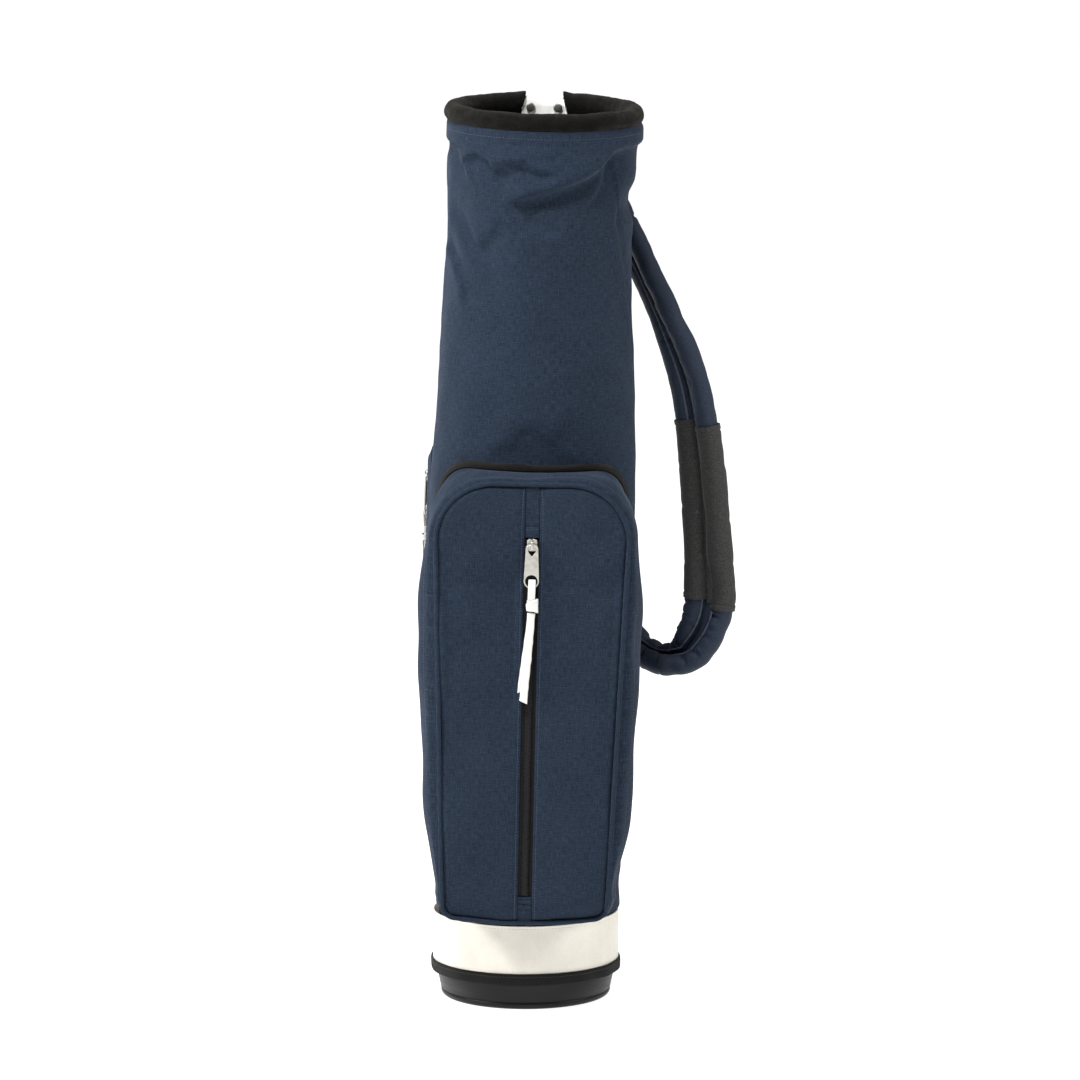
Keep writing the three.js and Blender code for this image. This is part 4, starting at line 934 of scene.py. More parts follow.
def make_liner():
    """The velour lining: it hangs from inside the roll, and is cut away in a slant beside the tab."""
    heights = np.concatenate([np.linspace(760, 852, 34), np.linspace(854, 880, 20)])[:, None]
    slant = SLANT * np.clip(RIM_HEIGHT + RIM_ROLL - heights, 0, 34)
    half_gap = (NOTCH_HALF + slant) / 84 * smooth(846, 851, heights)
    s = np.linspace(0, 1, 260)[None]
    angle = math.pi + half_gap + (TAU - 2 * half_gap) * s
    skin = on_tube((angle + math.pi) % TAU - math.pi, heights + 0 * angle, -3.4, folded=True)
    radius = np.minimum(85.4, np.hypot(skin[..., 0], skin[..., 1])) - 4.6 * smooth(862, 879, heights)
    radius = radius + 0.35 * ripple(skin, 41, 44)
    grid = np.stack([radius * np.sin(angle), -radius * np.cos(angle), heights + 0 * angle], -1)
    # the lining wears the darker velour, painted shade inside the mouth
    surface("velour_lining", grid[:, ::-1], 0.8, UPPER, VELOUR_PAINTED_SHADE, "shell",
            ["throat_liner"])


def make_rim():
    """The velour roll; beside the tab it is cut in a slant, and its top comes to a small point."""
    notch = NOTCH_HALF / RIM_CENTRE
    count = 240
    t = np.linspace(0, 1, count)
    t = 0.5 - 0.5 * np.sign(0.5 - t) * np.abs(1 - 2 * t) ** 0.8
    angle = math.pi + notch + (TAU - 2 * notch) * t
    from_end = np.minimum(t, 1 - t) * (TAU - 2 * notch) * RIM_CENTRE
    centre = np.stack([RIM_CENTRE * np.sin(angle), -RIM_CENTRE * np.cos(angle),
                       np.full(count, float(RIM_HEIGHT))], -1)
    side = np.stack([np.sin(angle), -np.cos(angle), 0 * angle], -1)
    face = np.broadcast_to([0.0, 0.0, 1.0], side.shape)
    sides = 32
    around_roll = np.arange(sides) / sides * TAU
    top = ((1 + np.sin(around_roll)) / 2)[None] ** 2
    blunt = 1.1 * np.exp(-from_end / 1.2)[:, None]
    point = 2.6 * top ** 2 * np.exp(-from_end / 5)[:, None]
    radii = RIM_ROLL - blunt + point
    rolled = sweep_points(centre, side, face, radii, sides)
    lumps = 0.24 * ripple(rolled, 51, 30) + 0.12 * ripple(rolled, 52, 9)
    rolled = sweep_points(centre, side, face, radii + lumps, sides)
    slant = SLANT * (RIM_HEIGHT + RIM_ROLL - rolled[..., 2]) * np.exp(-from_end / 20)[:, None]
    along = np.stack([np.cos(angle), np.sin(angle), 0 * angle], -1) * np.sign(0.5 - t)[:, None]
    rolled += slant[..., None] * along[:, None]
    roll = tube("velour_roll", rolled, UPPER, VELOUR, "shell", ["rim_pad"])


make_tube()
make_liner()
make_rim()


# ---------------------------------------------------------------- front pocket
def half_outline(half_low, half_high, low, high, low_radius, top_radius):
    """Half of the pocket's rounded outline, from the middle below to the middle above, with its
    outward directions: the same counts on every outline."""
    tilt = math.atan2(half_high - half_low, high - low)
    low_x, top_x = half_low - low_radius, half_high - top_radius
    side = math.pi / 2 - tilt

    def run(a, b, count, nx, nz):
        s = np.arange(count)[:, None] / count
        line = np.array(a) + (np.array(b) - np.array(a)) * s
        return np.hstack([line, np.full((count, 1), nx), np.full((count, 1), nz)])

    def arc(cx, cz, radius, start, end, count):
        a = start + (end - start) * np.arange(count) / count
        return np.stack([cx + radius * np.sin(a), cz - radius * np.cos(a), np.sin(a), -np.cos(a)], 1)

    rows = [
        run((0, low), (low_x, low), 28, 0, -1),
        arc(low_x, low + low_radius, low_radius, 0, side, 12),
        run((low_x + low_radius * math.cos(tilt), low + low_radius),
            (top_x + top_radius * math.cos(tilt), high - top_radius),
            110, math.cos(tilt), -math.sin(tilt)),
        arc(top_x, high - top_radius, top_radius, side, math.pi, 36),
        run((top_x, high), (0, high), 18, 0, 1),
        np.array([[0, high, 0, 1]]),
    ]
    return np.vstack(rows)


def whole(half):
    other = half[1:-1][::-1] * np.array([-1, 1, -1, 1])
    return np.vstack([half, other])


PANEL_HALF = half_outline(80.5, 94, POCKET_LOW, POCKET_HIGH, 12, 57)
PANEL_LINE = whole(PANEL_HALF)
SEAM_LINE = whole(half_outline(96, SEAM_HALF, SEAM_LOW, SEAM_HIGH, 14, 46))


def front_sag(x, z):
    """How far the pocket's front plane hangs back or bellies out, away from the zip."""
    tuck = 9 * smooth(POCKET_LOW + 22, POCKET_LOW - 2, z) * (0.75 + 0.25 * np.tanh(x / 30))
    corner = 4 * bump(x, 74, 16) * bump(z, 112, 14)
    return tuck + corner


def hem_lift(x, z):
    """The pocket's bottom edge follows the curve of the cuff, so it climbs towards its corners."""
    return HEM_LIFT * np.minimum((x / 80) ** 2, 1) * smooth(POCKET_LOW + 34, POCKET_LOW, z)


def edge_line(off=0.0, forward=0.0, line=PANEL_LINE):
    """The front edge of the pocket, moved outwards and towards the front."""
    x = line[:, 0] + line[:, 2] * off
    z = line[:, 1] + line[:, 3] * off
    sag = front_sag(line[:, 0], line[:, 1])
    z = z + hem_lift(line[:, 0], line[:, 1])
    return np.stack([x, POCKET_FRONT + 1.0 - forward + sag, z], -1)


def on_seam(outward, off):
    x = SEAM_LINE[:, 0] + SEAM_LINE[:, 2] * outward
    z = SEAM_LINE[:, 1] + SEAM_LINE[:, 3] * outward
    p = on_tube(x / 95, z, off)
    p[:, 0] -= POCKET_SHIFT
    return p


def make_gusset():
    s = np.linspace(0, 1, 46)[:, None] ** 1.5
    front = edge_line(0.4, 0.2)
    seam = on_seam(0, 1.4)
    z = PANEL_LINE[:, 1]
    fade = smooth(96, 230, z) * (1 - smooth(385, 500, z))
    belly = 3 + (GUSSET_BULGE - 3) * PANEL_LINE[:, 2] ** 2 * (0.3 + 0.7 * fade)
    base = front[None] * (1 - s[..., None]) + seam[None] * s[..., None]
    gather = 0.3 + 0.7 * smooth(104, 200, z)[None]
    off = (belly[None] * np.sin(math.pi * s ** 0.8) + 4.2 * s ** 0.35) * gather - 3.0 * s * gather
    wrinkle = 1.1 * ripple(base, 61, 90) + 0.5 * ripple(base * np.array([1, 1, 0.45]), 62, 34)
    wrinkle *= np.sin(math.pi * s) ** 0.7
    pleat = 2.6 * bump(PANEL_LINE[:, 1][None], 120, 9) * np.sin(2 * math.pi * s) * PANEL_LINE[:, 2][None] ** 2
    shoulder = 1.1 * smooth(0.045, 0.085, s) * (1 - smooth(0.2, 0.8, s))
    off = (off + wrinkle + pleat) * smooth(0.03, 0.085, s) + shoulder - 0.8 * bump(s, 0.035, 0.02)
    out = np.stack([PANEL_LINE[:, 2], 0 * z, PANEL_LINE[:, 3]], -1)
    grid = base + out[None] * off[..., None]
    grid = grid[::-1]
    surface("pocket_side", grid, 1.6, POCKET, CANVAS, "shell", ["pocket_gusset"], looped=True)
    k = len(grid) - 1 - int(np.argmin(np.abs(s[:, 0] - STITCH_STATION)))
    outward = normals(grid, True)[k]
    loop = np.vstack([grid[k], grid[k][:1]])
    stitches("pocket_side_stitches", [(loop, np.vstack([outward, outward[:1]]))], POCKET, NAVY_THREAD,
             "shell", pitch=3.1)


def make_pocket_tape():
    """Ribbed tape over the raw edge where the pocket is sewn to the tube."""
    wave = 0.5 * ripple(np.stack([SEAM_LINE[:, 0], 0 * SEAM_LINE[:, 0], SEAM_LINE[:, 1]], -1), 71, 34)
    strips = [on_seam(a, b) for a, b in ((8.6, 0.9), (8.3, 2.1), (6.2, 2.7), (4.2, 2.6), (2.4, 2.3),
                                         (2.2, 0.9))]
    push = [0, 1, 1, 0.6, 0.2, 0]
    out = unit(np.stack([SEAM_LINE[:, 2], 0 * wave, SEAM_LINE[:, 3]], -1))
    sections = np.stack([p + out * (wave * k)[:, None] for p, k in zip(strips, push)], 1)
    tube("pocket_tape", sections[:, ::-1], POCKET, GROSGRAIN_ALONG, "shell",
         ["pocket_binding"], closed=True)


def make_piping():
    line = np.vstack([PANEL_HALF[1:], whole(PANEL_HALF)[len(PANEL_HALF):]])
    path = edge_line(0, 0, line)
    first, last = path[0].copy(), path[-1].copy()
    first[0], last[0] = 0.4, -0.4
    path = np.vstack([first, path, last])
    _, side, face = frames(path, (0, -1, 0))
    sides = 14
    puckers = 0.1 * ripple(path, 81, 9)
    sections = sweep_points(path, side, face, PIPING + puckers[:, None] * np.ones((1, sides)), sides)
    tube("pocket_piping_roll", sections, POCKET, CANVAS, "shell", ["pocket_piping"])


def panel_grid(side):
    """One half of the pocket's front: rows from below to above, columns away from the zip."""
    inset = 1.9
    outer_x = PANEL_HALF[:, 0] - PANEL_HALF[:, 2] * inset
    outer_z = PANEL_HALF[:, 1] - PANEL_HALF[:, 3] * inset
    edge = slice(1, len(PANEL_HALF) - 1)
    order = np.argsort(outer_z[edge], kind="stable")
    zs, xs = outer_z[edge][order], outer_x[edge][order]
    low, high = POCKET_LOW + inset, POCKET_HIGH - inset
    middle = np.linspace(low + 12, high - 57, 110)
    bottom = low + 12 - 12 * np.cos(np.linspace(0, math.pi / 2, 14))[:-1]
    top = high - 57 + 57 * np.sin(np.linspace(0, math.pi / 2, 34))[1:]
    z = np.concatenate([bottom, middle, top])
    keep = (xs > 30)
    x_out = np.interp(z, zs[keep], xs[keep])
    x_out[0], x_out[-1] = 68.5, 37
    a = np.concatenate([[0, 0.006, 0.014, 0.025], np.linspace(0.04, 0.95, 44), [0.965, 0.978, 0.99, 1]])
    x = ZIP_HALF_GAP + (x_out[:, None] - ZIP_HALF_GAP) * a[None]
    z = np.broadcast_to(z[:, None], x.shape)
    reach = np.minimum.reduce([(x_out[:, None] - x), high - z, z - low])
    rounded = np.hypot(np.maximum(0, x - 37), np.maximum(0, z - (POCKET_HIGH - 57)))
    reach = np.where((x > 37) & (z > POCKET_HIGH - 57), 55.1 - rounded, reach)
    reach = np.maximum(reach, 0)
    from_zip = x - ZIP_HALF_GAP
    crown = 4.2 * (1 - np.exp(-reach / 26)) * (1 - np.exp(-from_zip / 20))
    roll_in = 2.6 * np.exp(-(reach / 2.2) ** 2) + 1.5 * np.exp(-from_zip / 0.8)
    hem = 0.5 * bump(from_zip, 3.6, 0.8)
    where = np.stack([side * x, 0 * x, z], -1)
    soft = 1.5 * ripple(where, 91 + side, 130) + 0.5 * ripple(where, 95 + side, 48)
    soft = soft + 0.1 * ripple(where, 97, 16)
    soft *= 1 - np.exp(-from_zip / 16)
    # the panels lie flatter over the ground that the lace sweeps
    sweep = LACE_DIP * smooth(292, 330, z) * (1 - smooth(434, 462, z))
    sweep = sweep * smooth(2, 10, from_zip) * smooth(0, 10, reach)
    y = POCKET_FRONT + 0.3 - crown + roll_in + hem + soft + sweep + front_sag(side * x, z)
    grid = np.stack([side * x, y, z + hem_lift(x, z)], -1)
    return grid if side > 0 else grid[:, ::-1]


def make_panels():
    rows = []
    for side, name in ((-1, "left"), (1, "right")):
        grid = panel_grid(side)
        surface(f"front_panel_{name}", grid, 1.2, POCKET, CANVAS, "shell",
                [f"pocket_panel_{name}"])
        columns = grid if side > 0 else grid[:, ::-1]
        from_zip = np.abs(columns[len(columns) // 2, :, 0]) - ZIP_HALF_GAP
        k = int(np.argmin(np.abs(from_zip - 3.6)))
        line = columns[2:-2, k].copy()
        line[:, 1] -= 0.05
        rows.append((line, np.broadcast_to([0.0, -1.0, 0.0], line.shape)))
    stitches("panel_stitches", rows, POCKET, NAVY_THREAD, "shell", pitch=2.9, length=2.1,
             radius=0.3)


make_gusset()
make_pocket_tape()
make_piping()
make_panels()


# ---------------------------------------------------------------- zips
def coil(side, low, high):
    """One half of a nylon coil: a filament wound in flat loops whose heads cross the middle."""
    pitch = 1.35
    turns = int((high - low) / pitch)
    loop = np.array([(3.0, 1.8), (2.8, 0.75), (1.6, 0.62), (0.3, 0.6), (-0.45, 1.1), (-0.45, 1.75),
                     (0.3, 2.35), (1.8, 2.5)])
    k = np.arange(turns * len(loop))
    x, y = loop[k % len(loop)].T
    z = low + 0.5 + (0 if side > 0 else pitch / 2) + k / len(loop) * pitch
    path = np.stack([side * x, y, z], 1)
    _, across, face = frames(path, (0, 0, 1))
    return tube_part(sweep_points(path, across, face, 0.36, 6))


def make_chain(prefix, matrix, low, high):
    z = np.arange(low, high + 0.1, 3.0)
    for side, name in ((-1, "left"), (1, "right")):
        joined(f"{prefix}coil_{name}", [coil(side, low, high)], matrix, COIL, "shell",
               [f"{prefix}zip_coil_{name}"], sharp=70)
        x = np.array([1.2, 2.0, 3.2, 3.6, 4.4, 6, 9, 13.8]) * side
        x = np.sort(x)
        lift = 0.5 * bump(np.abs(x), 3.7, 0.5) - 0.25 * bump(np.abs(x), 4.6, 0.5)
        y = 2.95 - lift[None] + 0.08 * ripple(np.stack(np.broadcast_arrays(x[None], 0.0, z[:, None]), -1),
                                              111 + side, 30)
        grid = np.stack([np.broadcast_to(x[None], y.shape), y, np.broadcast_to(z[:, None], y.shape)], -1)
        surface(f"{prefix}tape_{name}", grid, 0.6, matrix, ZIP_CLOTH, "shell",
                [f"{prefix}zip_tape_{name}"])


def make_slider(prefix, matrix, height, body):
    half = SLIDER_LENGTH / 2
    shield = np.vstack([[(-3.4, -half)], bend((-4.6, -half + 0.6), (-4.7, 0), (-5, 2.4)),
                        bend((-5, 4), (-4.2, half), (-1.6, half)),
                        [(0, half - 1.1)], bend((1.6, half), (4.2, half), (5, 4)),
                        bend((5, 2.4), (4.7, 0), (4.6, -half + 0.6)),
                        [(3.4, -half)]])
    top = plate_part(shield, -1.55, -0.15, 0.4)
    under = plate_part(shield * 0.94, 3.8, 4.8, 0.35)
    post = plate_part(np.array([(-0.6, 1), (0.6, 1), (0.9, half - 0.6), (-0.9, half - 0.6)]), -0.4, 4.1, 0.15)
    flanges = [plate_part(np.array([(s * 4.1, -half + 1.2), (s * 4.7, -half + 1.2), (s * 4.9, 3.4),
                                    (s * 4.3, 3.4)]), -0.5, 0.2, 0.12)
               for s in (-1, 1)]
    arch = np.vstack([[(-1.0, -3.8)], [(-3.2, -3.8)], bend((-4.8, -3.8), (-6.5, -3.7), (-6.5, -1.8)),
                      bend((-6.5, 1.8), (-6.5, 3.7), (-4.8, 3.8)), [(-3.2, 3.8)], [(-1.0, 3.8)]])
    path = np.stack([0 * arch[:, 0], arch[:, 0], arch[:, 1]], 1)
    bridge = tube_part(strap_sections(path, (1, 0, 0), 2.3, 1.3, 16, 0.5))
    joined(f"{prefix}slider_body", [top, under, post, bridge, *flanges], group(matrix, (0, 0, height)),
           NICKEL, body,
           [f"{prefix}zip_slider"], sharp=35)


def make_pull(prefix, matrix, height, body):
    """A tapered tab with a heart-shaped window over the bridge and a ring for the lace."""
    edge = np.vstack([[(-2.2, 1.1), (2.2, 1.1)], bend((3.2, 1.05), (6.1, 0.4), (6.2, -5)),
                      np.linspace((6.35, -9), (7.3, -30), 6), round_arc(0, -HOLE_DROP, 7.4, 0, -180, 30),
                      np.linspace((-7.3, -30), (-6.35, -9), 6), bend((-6.2, -5), (-6.1, 0.4), (-3.2, 1.05))])
    heart = np.vstack([[(0, -1.8)], round_arc(2.0, -3.5, 2.1, 115, -30, 9),
                       bend((3.7, -5.4), (2.9, -8.2), (0, -10.4)),
                       bend((0, -10.4), (-2.9, -8.2), (-3.7, -5.4))[1:],
                       round_arc(-2.0, -3.5, 2.1, 210, 65, 9)])
    hole = round_arc(0, -HOLE_DROP, 6, 0, 348, 30)
    low, high = PULL_AXIS - 0.8, PULL_AXIS + 0.8
    tab = plate_part(edge, low, high, 0.32, [heart, hole])
    border = grown(edge, -1.0)
    path = np.stack([border[:, 0], np.full(len(border), low + 0.06), border[:, 1]], 1)
    forward = unit(np.roll(path, -1, 0) - np.roll(path, 1, 0))
    side = np.broadcast_to([0.0, -1.0, 0.0], path.shape)
    bead = tube_part(sweep_points(path, side, np.cross(forward, side), 0.26, 6), closed=True)
    joined(f"{prefix}pull_tab", [tab, bead], group(matrix, (0, 0, height)), NICKEL, body,
           [f"{prefix}zip_pull"], sharp=35)


# The two ends of the lace below its knot: X, Y and Z in metres in the zip's own group, with Z
# counted from the middle of the slider.
LACE_ROUTES = {
    "left": [
        (0.0002, -0.0042, -0.0664), (0, -0.0042, -0.0714), (-0.0003, -0.0042, -0.0764),
        (-0.0008, -0.0042, -0.0824), (-0.0015, -0.0042, -0.0884), (-0.0022, -0.0042, -0.0944),
        (-0.0029, -0.0042, -0.1004), (-0.0036, -0.0042, -0.1064), (-0.0043, -0.0042, -0.1124),
        (-0.005, -0.0042, -0.1184), (-0.0057, -0.0042, -0.1244), (-0.0063, -0.0042, -0.1294),
        (-0.0069, -0.0042, -0.1344), (-0.0074, -0.0042, -0.1394), (-0.008, -0.0042, -0.1444),
    ],
    "right": [
        (0.0006, -0.0064, -0.0664), (0.0004, -0.0064, -0.0724), (0.0001, -0.0064, -0.0784),
        (-0.0003, -0.0064, -0.0844), (-0.0007, -0.0064, -0.0904), (-0.0011, -0.0064, -0.0974),
        (-0.0016, -0.0064, -0.1044), (-0.0021, -0.0064, -0.1114), (-0.0027, -0.0064, -0.1184),
        (-0.0032, -0.0064, -0.1254), (-0.0038, -0.0064, -0.1324), (-0.0043, -0.0064, -0.1384),
        (-0.0047, -0.0064, -0.1444), (-0.0051, -0.0064, -0.1494), (-0.0054, -0.0064, -0.1544),
    ],
}
LACE_WIDTH = {"left": 7.2, "right": 7.4}


def make_tails(prefix, matrix, height, body):
    for hand, route in LACE_ROUTES.items():
        width = LACE_WIDTH[hand]
        path = curve(np.array(route) / MM + (0, 0, height), np.linspace(0, 1, 60))
        sections = strap_sections(path, (1, 0, 0), width, 1.45, 22, 0.34)
        offset = (sections - path[:, None])
        across = offset[..., 0] / (width / 2)
        s = np.linspace(0, 1, 60)[:, None]
        sections[..., 1] += 0.22 * across ** 2 + 0.12 * np.sin(7 * s + 2 * across) * s
        sections[..., 2] += 1.6 * across * smooth(0.9, 1, s) * (1 if hand == "left" else -1)
        where = sections + (0, 0, 40 if hand == "left" else 0)
        sections[..., 0] += 0.12 * ripple(where, 121, 12)
        tail = tube(f"{prefix}lace_end_{hand}", sections, matrix, LACE, body,
                    [f"{prefix}lace_tail_{hand}"], sharp=40)


def make_knot(prefix, matrix, height, body):
    """The lace looped through the pull's ring, and its overhand knot."""
    front, back, top = PULL_AXIS - 2.5, PULL_AXIS + 2.0, -HOLE_DROP
    loop = np.vstack([[(PULL_AXIS - 1.5, top - 20), (front + 0.3, top - 13), (front, top - 6),
                       (front + 0.1, top - 2.2)],
                      [(front + 0.9, top + 0.2), (PULL_AXIS - 0.3, top + 0.95), (back - 0.8, top + 0.2)],
                      [(back, top - 2.2), (back, top - 6), (back - 0.3, top - 13),
                       (PULL_AXIS + 1.2, top - 20)]])
    path = curve(np.stack([0.3 + 0 * loop[:, 0], loop[:, 0], loop[:, 1]], 1), np.linspace(0, 1, 60))
    rise = np.linspace(0, 1, 60)
    path[:, 0] += 0.5 * np.sin(math.pi * rise)
    legs = strap_sections(path, (1, 0, 0), 7.2 - 0.5 * bump(rise, 0.5, 0.12), 1.3, 20, 0.34)
    parts = [tube_part(legs)]
    centre = np.array([1.0, PULL_AXIS - 0.8, top - 24.3])
    turns = ((5.3, 2.6, 0.1, 3.2, 7.0, -1.0), (5.1, 3.3, 0.6, -3.4, 6.2, 0.8))
    for wide, deep, shift, tilt, width, lower in turns:
        a = np.linspace(0, TAU, 48, endpoint=False)
        flat = np.sign(np.cos(a)) * np.abs(np.cos(a)) ** 0.75
        path = centre + np.stack([wide * flat + shift, deep * np.sin(a), tilt * np.cos(a) - lower], 1)
        forward = unit(np.roll(path, -1, 0) - np.roll(path, 1, 0))
        side = np.broadcast_to([0.0, 0.0, 1.0], path.shape)
        side = unit(side - (side * forward).sum(1, keepdims=True) * forward)
        face = np.cross(forward, side)
        angle = (np.arange(20) + 0.5) / 20 * TAU
        x = np.sign(np.cos(angle)) * np.abs(np.cos(angle)) ** 0.34
        y = np.sign(np.sin(angle)) * np.abs(np.sin(angle)) ** 0.34
        pinch = 1 - 0.16 * np.cos(2 * a)
        section = path[:, None] + (width / 2 * pinch)[:, None, None] * x[None, :, None] * side[:, None]
        section = section + 0.65 * y[None, :, None] * face[:, None]
        section += 0.22 * ripple(section, 131, 7)[..., None] * (face[:, None])
        parts.append(tube_part(section, closed=True))
    core = [(0.3, -6.2), (3.2, -5.6), (4.2, -2), (4.4, 2), (3.6, 5), (0.3, 5.8)]
    a = np.arange(20) / 20 * TAU
    rows = np.array(core)
    lump = np.stack([rows[:, 0][:, None] * np.sin(a), -0.52 * rows[:, 0][:, None] * np.cos(a),
                     np.repeat(rows[:, 1][:, None], 20, 1)], -1) + centre
    parts.append(tube_part(lump))
    joined(f"{prefix}lace_loop", parts, group(matrix, (0, 0, height)), LACE, body,
           [f"{prefix}lace_knot"], sharp=40)


def make_zip(prefix, matrix, low, high):
    height = high - SLIDER_LENGTH / 2 - 0.8
    make_tails(prefix, matrix, height, f"{prefix}lace")
    make_chain(prefix, matrix, low, high)
    make_slider(prefix, matrix, height, f"{prefix}slider")
    make_pull(prefix, matrix, height, f"{prefix}pull")
    make_knot(prefix, matrix, height, f"{prefix}lace")


def make_zip_tabs():
    """Canvas strips that close the gap between the panels above and below the zip."""
    x = np.linspace(-6.6, 6.6, 15)
    for name, low, high, node in (("top_strip", ZIP_HIGH + 0.4, POCKET_HIGH - 2.0, "zip_top_tab"),
                                  ("bottom_strip", POCKET_LOW + 1.6, ZIP_LOW - 0.4, "zip_bottom_tab")):
        z = np.linspace(low, high, int((high - low) / 0.8))
        y = np.repeat(front_sag(0, z)[:, None], len(x), 1) + 0.9 + 0.25 * np.abs(x[None] / 6.6) ** 3
        if name == "top_strip":
            fold = ZIP_HIGH + 10
            y = y - 0.75 * smooth(fold + 0.5, fold - 0.3, z)[:, None]
            y = y + 0.5 * bump(z, fold + 0.9, 0.6)[:, None]
            y = y + 0.9 * smooth(high - 2.5, high, z)[:, None]
        else:
            for crease, depth in ((high - 3.2, 0.8), (high - 7.6, 1.1), (high - 12.5, 0.7)):
                y = y + depth * bump(z[:, None] + 0.12 * x[None], crease,
                                     0.9) - 0.4 * depth * bump(z[:, None], crease + 2.1, 1.2)
        y = y + 0.12 * ripple(np.stack(np.broadcast_arrays(x[None], 0.0, z[:, None]), -1), 141, 9)
        grid = np.stack([np.broadcast_to(x[None], y.shape), POCKET_FRONT + y,
                         np.broadcast_to(z[:, None], y.shape)], -1)
        surface(name, grid, 0.9, POCKET, CANVAS, "shell", [node])
    z = ZIP_HIGH + 8.2
    line = np.stack([np.linspace(-6.2, 6.2, 9), np.full(9, POCKET_FRONT + 0.1), np.full(9, z)], 1)
    stitches("top_strip_stitches", [(line, np.broadcast_to([0.0, -1.0, 0.0], line.shape))], POCKET,
             NAVY_THREAD,
             "shell", pitch=2.6, length=1.9, radius=0.28)


SIDE = group(UPPER, (-104.27, 37.30, 0), Matrix.Rotation(SIDE_ANGLE, 4, "Z"))
make_zip("", ZIP, ZIP_LOW, ZIP_HIGH)
make_zip("side_", SIDE, SIDE_LOW, SIDE_HIGH)
make_zip_tabs()


# ---------------------------------------------------------------- side pocket
def make_side_pocket():
    """A flat pocket whose canvas frame holds the zip off the tube and slopes down to it."""
    reach = 31
    low, high = SIDE_LOW - 26, SIDE_HIGH + 26
    mouth_low, mouth_high = SIDE_LOW - 2, SIDE_HIGH + 2
    z = np.concatenate([np.linspace(low, mouth_low, 14), np.linspace(mouth_low + 1, mouth_high - 1, 80),
                        np.linspace(mouth_high, high, 14)])
    for side, name in ((-1, "left"), (1, "right")):
        s = np.linspace(0, 1, 22)
        inner = np.where((z > mouth_low) & (z < mouth_high), ZIP_HALF_GAP, 0.0)
        ends = np.minimum(z - low, high - z)
        outer = reach - 12 * (1 - np.sqrt(np.clip(1 - (1 - np.clip(ends / 12, 0, 1)) ** 2, 0, 1)))
        x = side * (inner[:, None] + (outer - inner)[:, None] * s[None])
        if side < 0:
            x = x[:, ::-1]
        height = np.repeat(z[:, None], x.shape[1], 1)
        bare = 6.6 + x ** 2 / 205 + 1.4 * ((height - 410) / 150) ** 2
        edge = np.minimum((outer[:, None] - np.abs(x)) / (24 if side > 0 else 16), ends[:, None] / 23)
        where = np.stack([x, 0 * x, height], -1)
        y = bare - 0.35 - (bare - 0.2) * smooth(0, 1, edge) + 0.12 * ripple(where, 151, 45)
        y += 0.8 * np.exp(-(np.abs(x) - inner[:, None]) / 0.9) * ((z > mouth_low) & (z < mouth_high))[:, None]
        grid = np.stack([x, y, height], -1)
        surface(f"side_frame_{name}", grid, 1.2, SIDE, CANVAS, "shell", ["side_zip_welt"])
    rows = []
    for x in (-10.2, 10.2):
        z = np.linspace(mouth_low - 4, mouth_high + 4, 60)
        line = np.stack([np.full(60, x), np.full(60, 0.15), z], 1)
        rows.append((line, np.broadcast_to([0.0, -1.0, 0.0], line.shape)))
    stitches("side_frame_stitches", rows, SIDE, NAVY_THREAD, "shell", pitch=3.0, length=2.2,
             radius=0.3)


def make_side_lining():
    """The pocket's bag inside the tube."""
    section = [(-0.42, -3.4), (-0.39, -10), (-0.34, -16), (-0.2, -18.5), (0, -19), (0.2, -18.5),
               (0.34, -16), (0.39, -10), (0.42, -3.4)]
    at = np.linspace(0, 1, 40)
    angle = np.interp(at, np.linspace(0, 1, 9), [a for a, _ in section])
    off = np.interp(at, np.linspace(0, 1, 9), [o for _, o in section])
    height = np.linspace(SIDE_LOW - 30, SIDE_HIGH + 20, 50)
    grid = on_tube(SIDE_ANGLE + angle[None], height[:, None], off[None])
    grid += 0.5 * ripple(grid, 161, 40)[..., None] * normals(grid)
    surface("side_pouch", grid[:, ::-1], 0.8, UPPER, LINING, "shell", ["side_pocket_lining"])


make_side_pocket()
make_side_lining()


# ---------------------------------------------------------------- hoop, tab and spine
def make_hoop():
    angle = np.arange(96) / 96 * TAU
    path = np.stack([RIM_CENTRE * np.sin(angle), -RIM_CENTRE * np.cos(angle),
                     np.full(96, float(RIM_HEIGHT))], 1)
    side = np.stack([np.sin(angle), -np.cos(angle), 0 * angle], 1)
    face = np.broadcast_to([0.0, 0.0, 1.0], side.shape)
    tube("wire_hoop", sweep_points(path, side, face, 3.4, 12), UPPER, STEEL, "shell",
         ["rim_hoop"], closed=True)


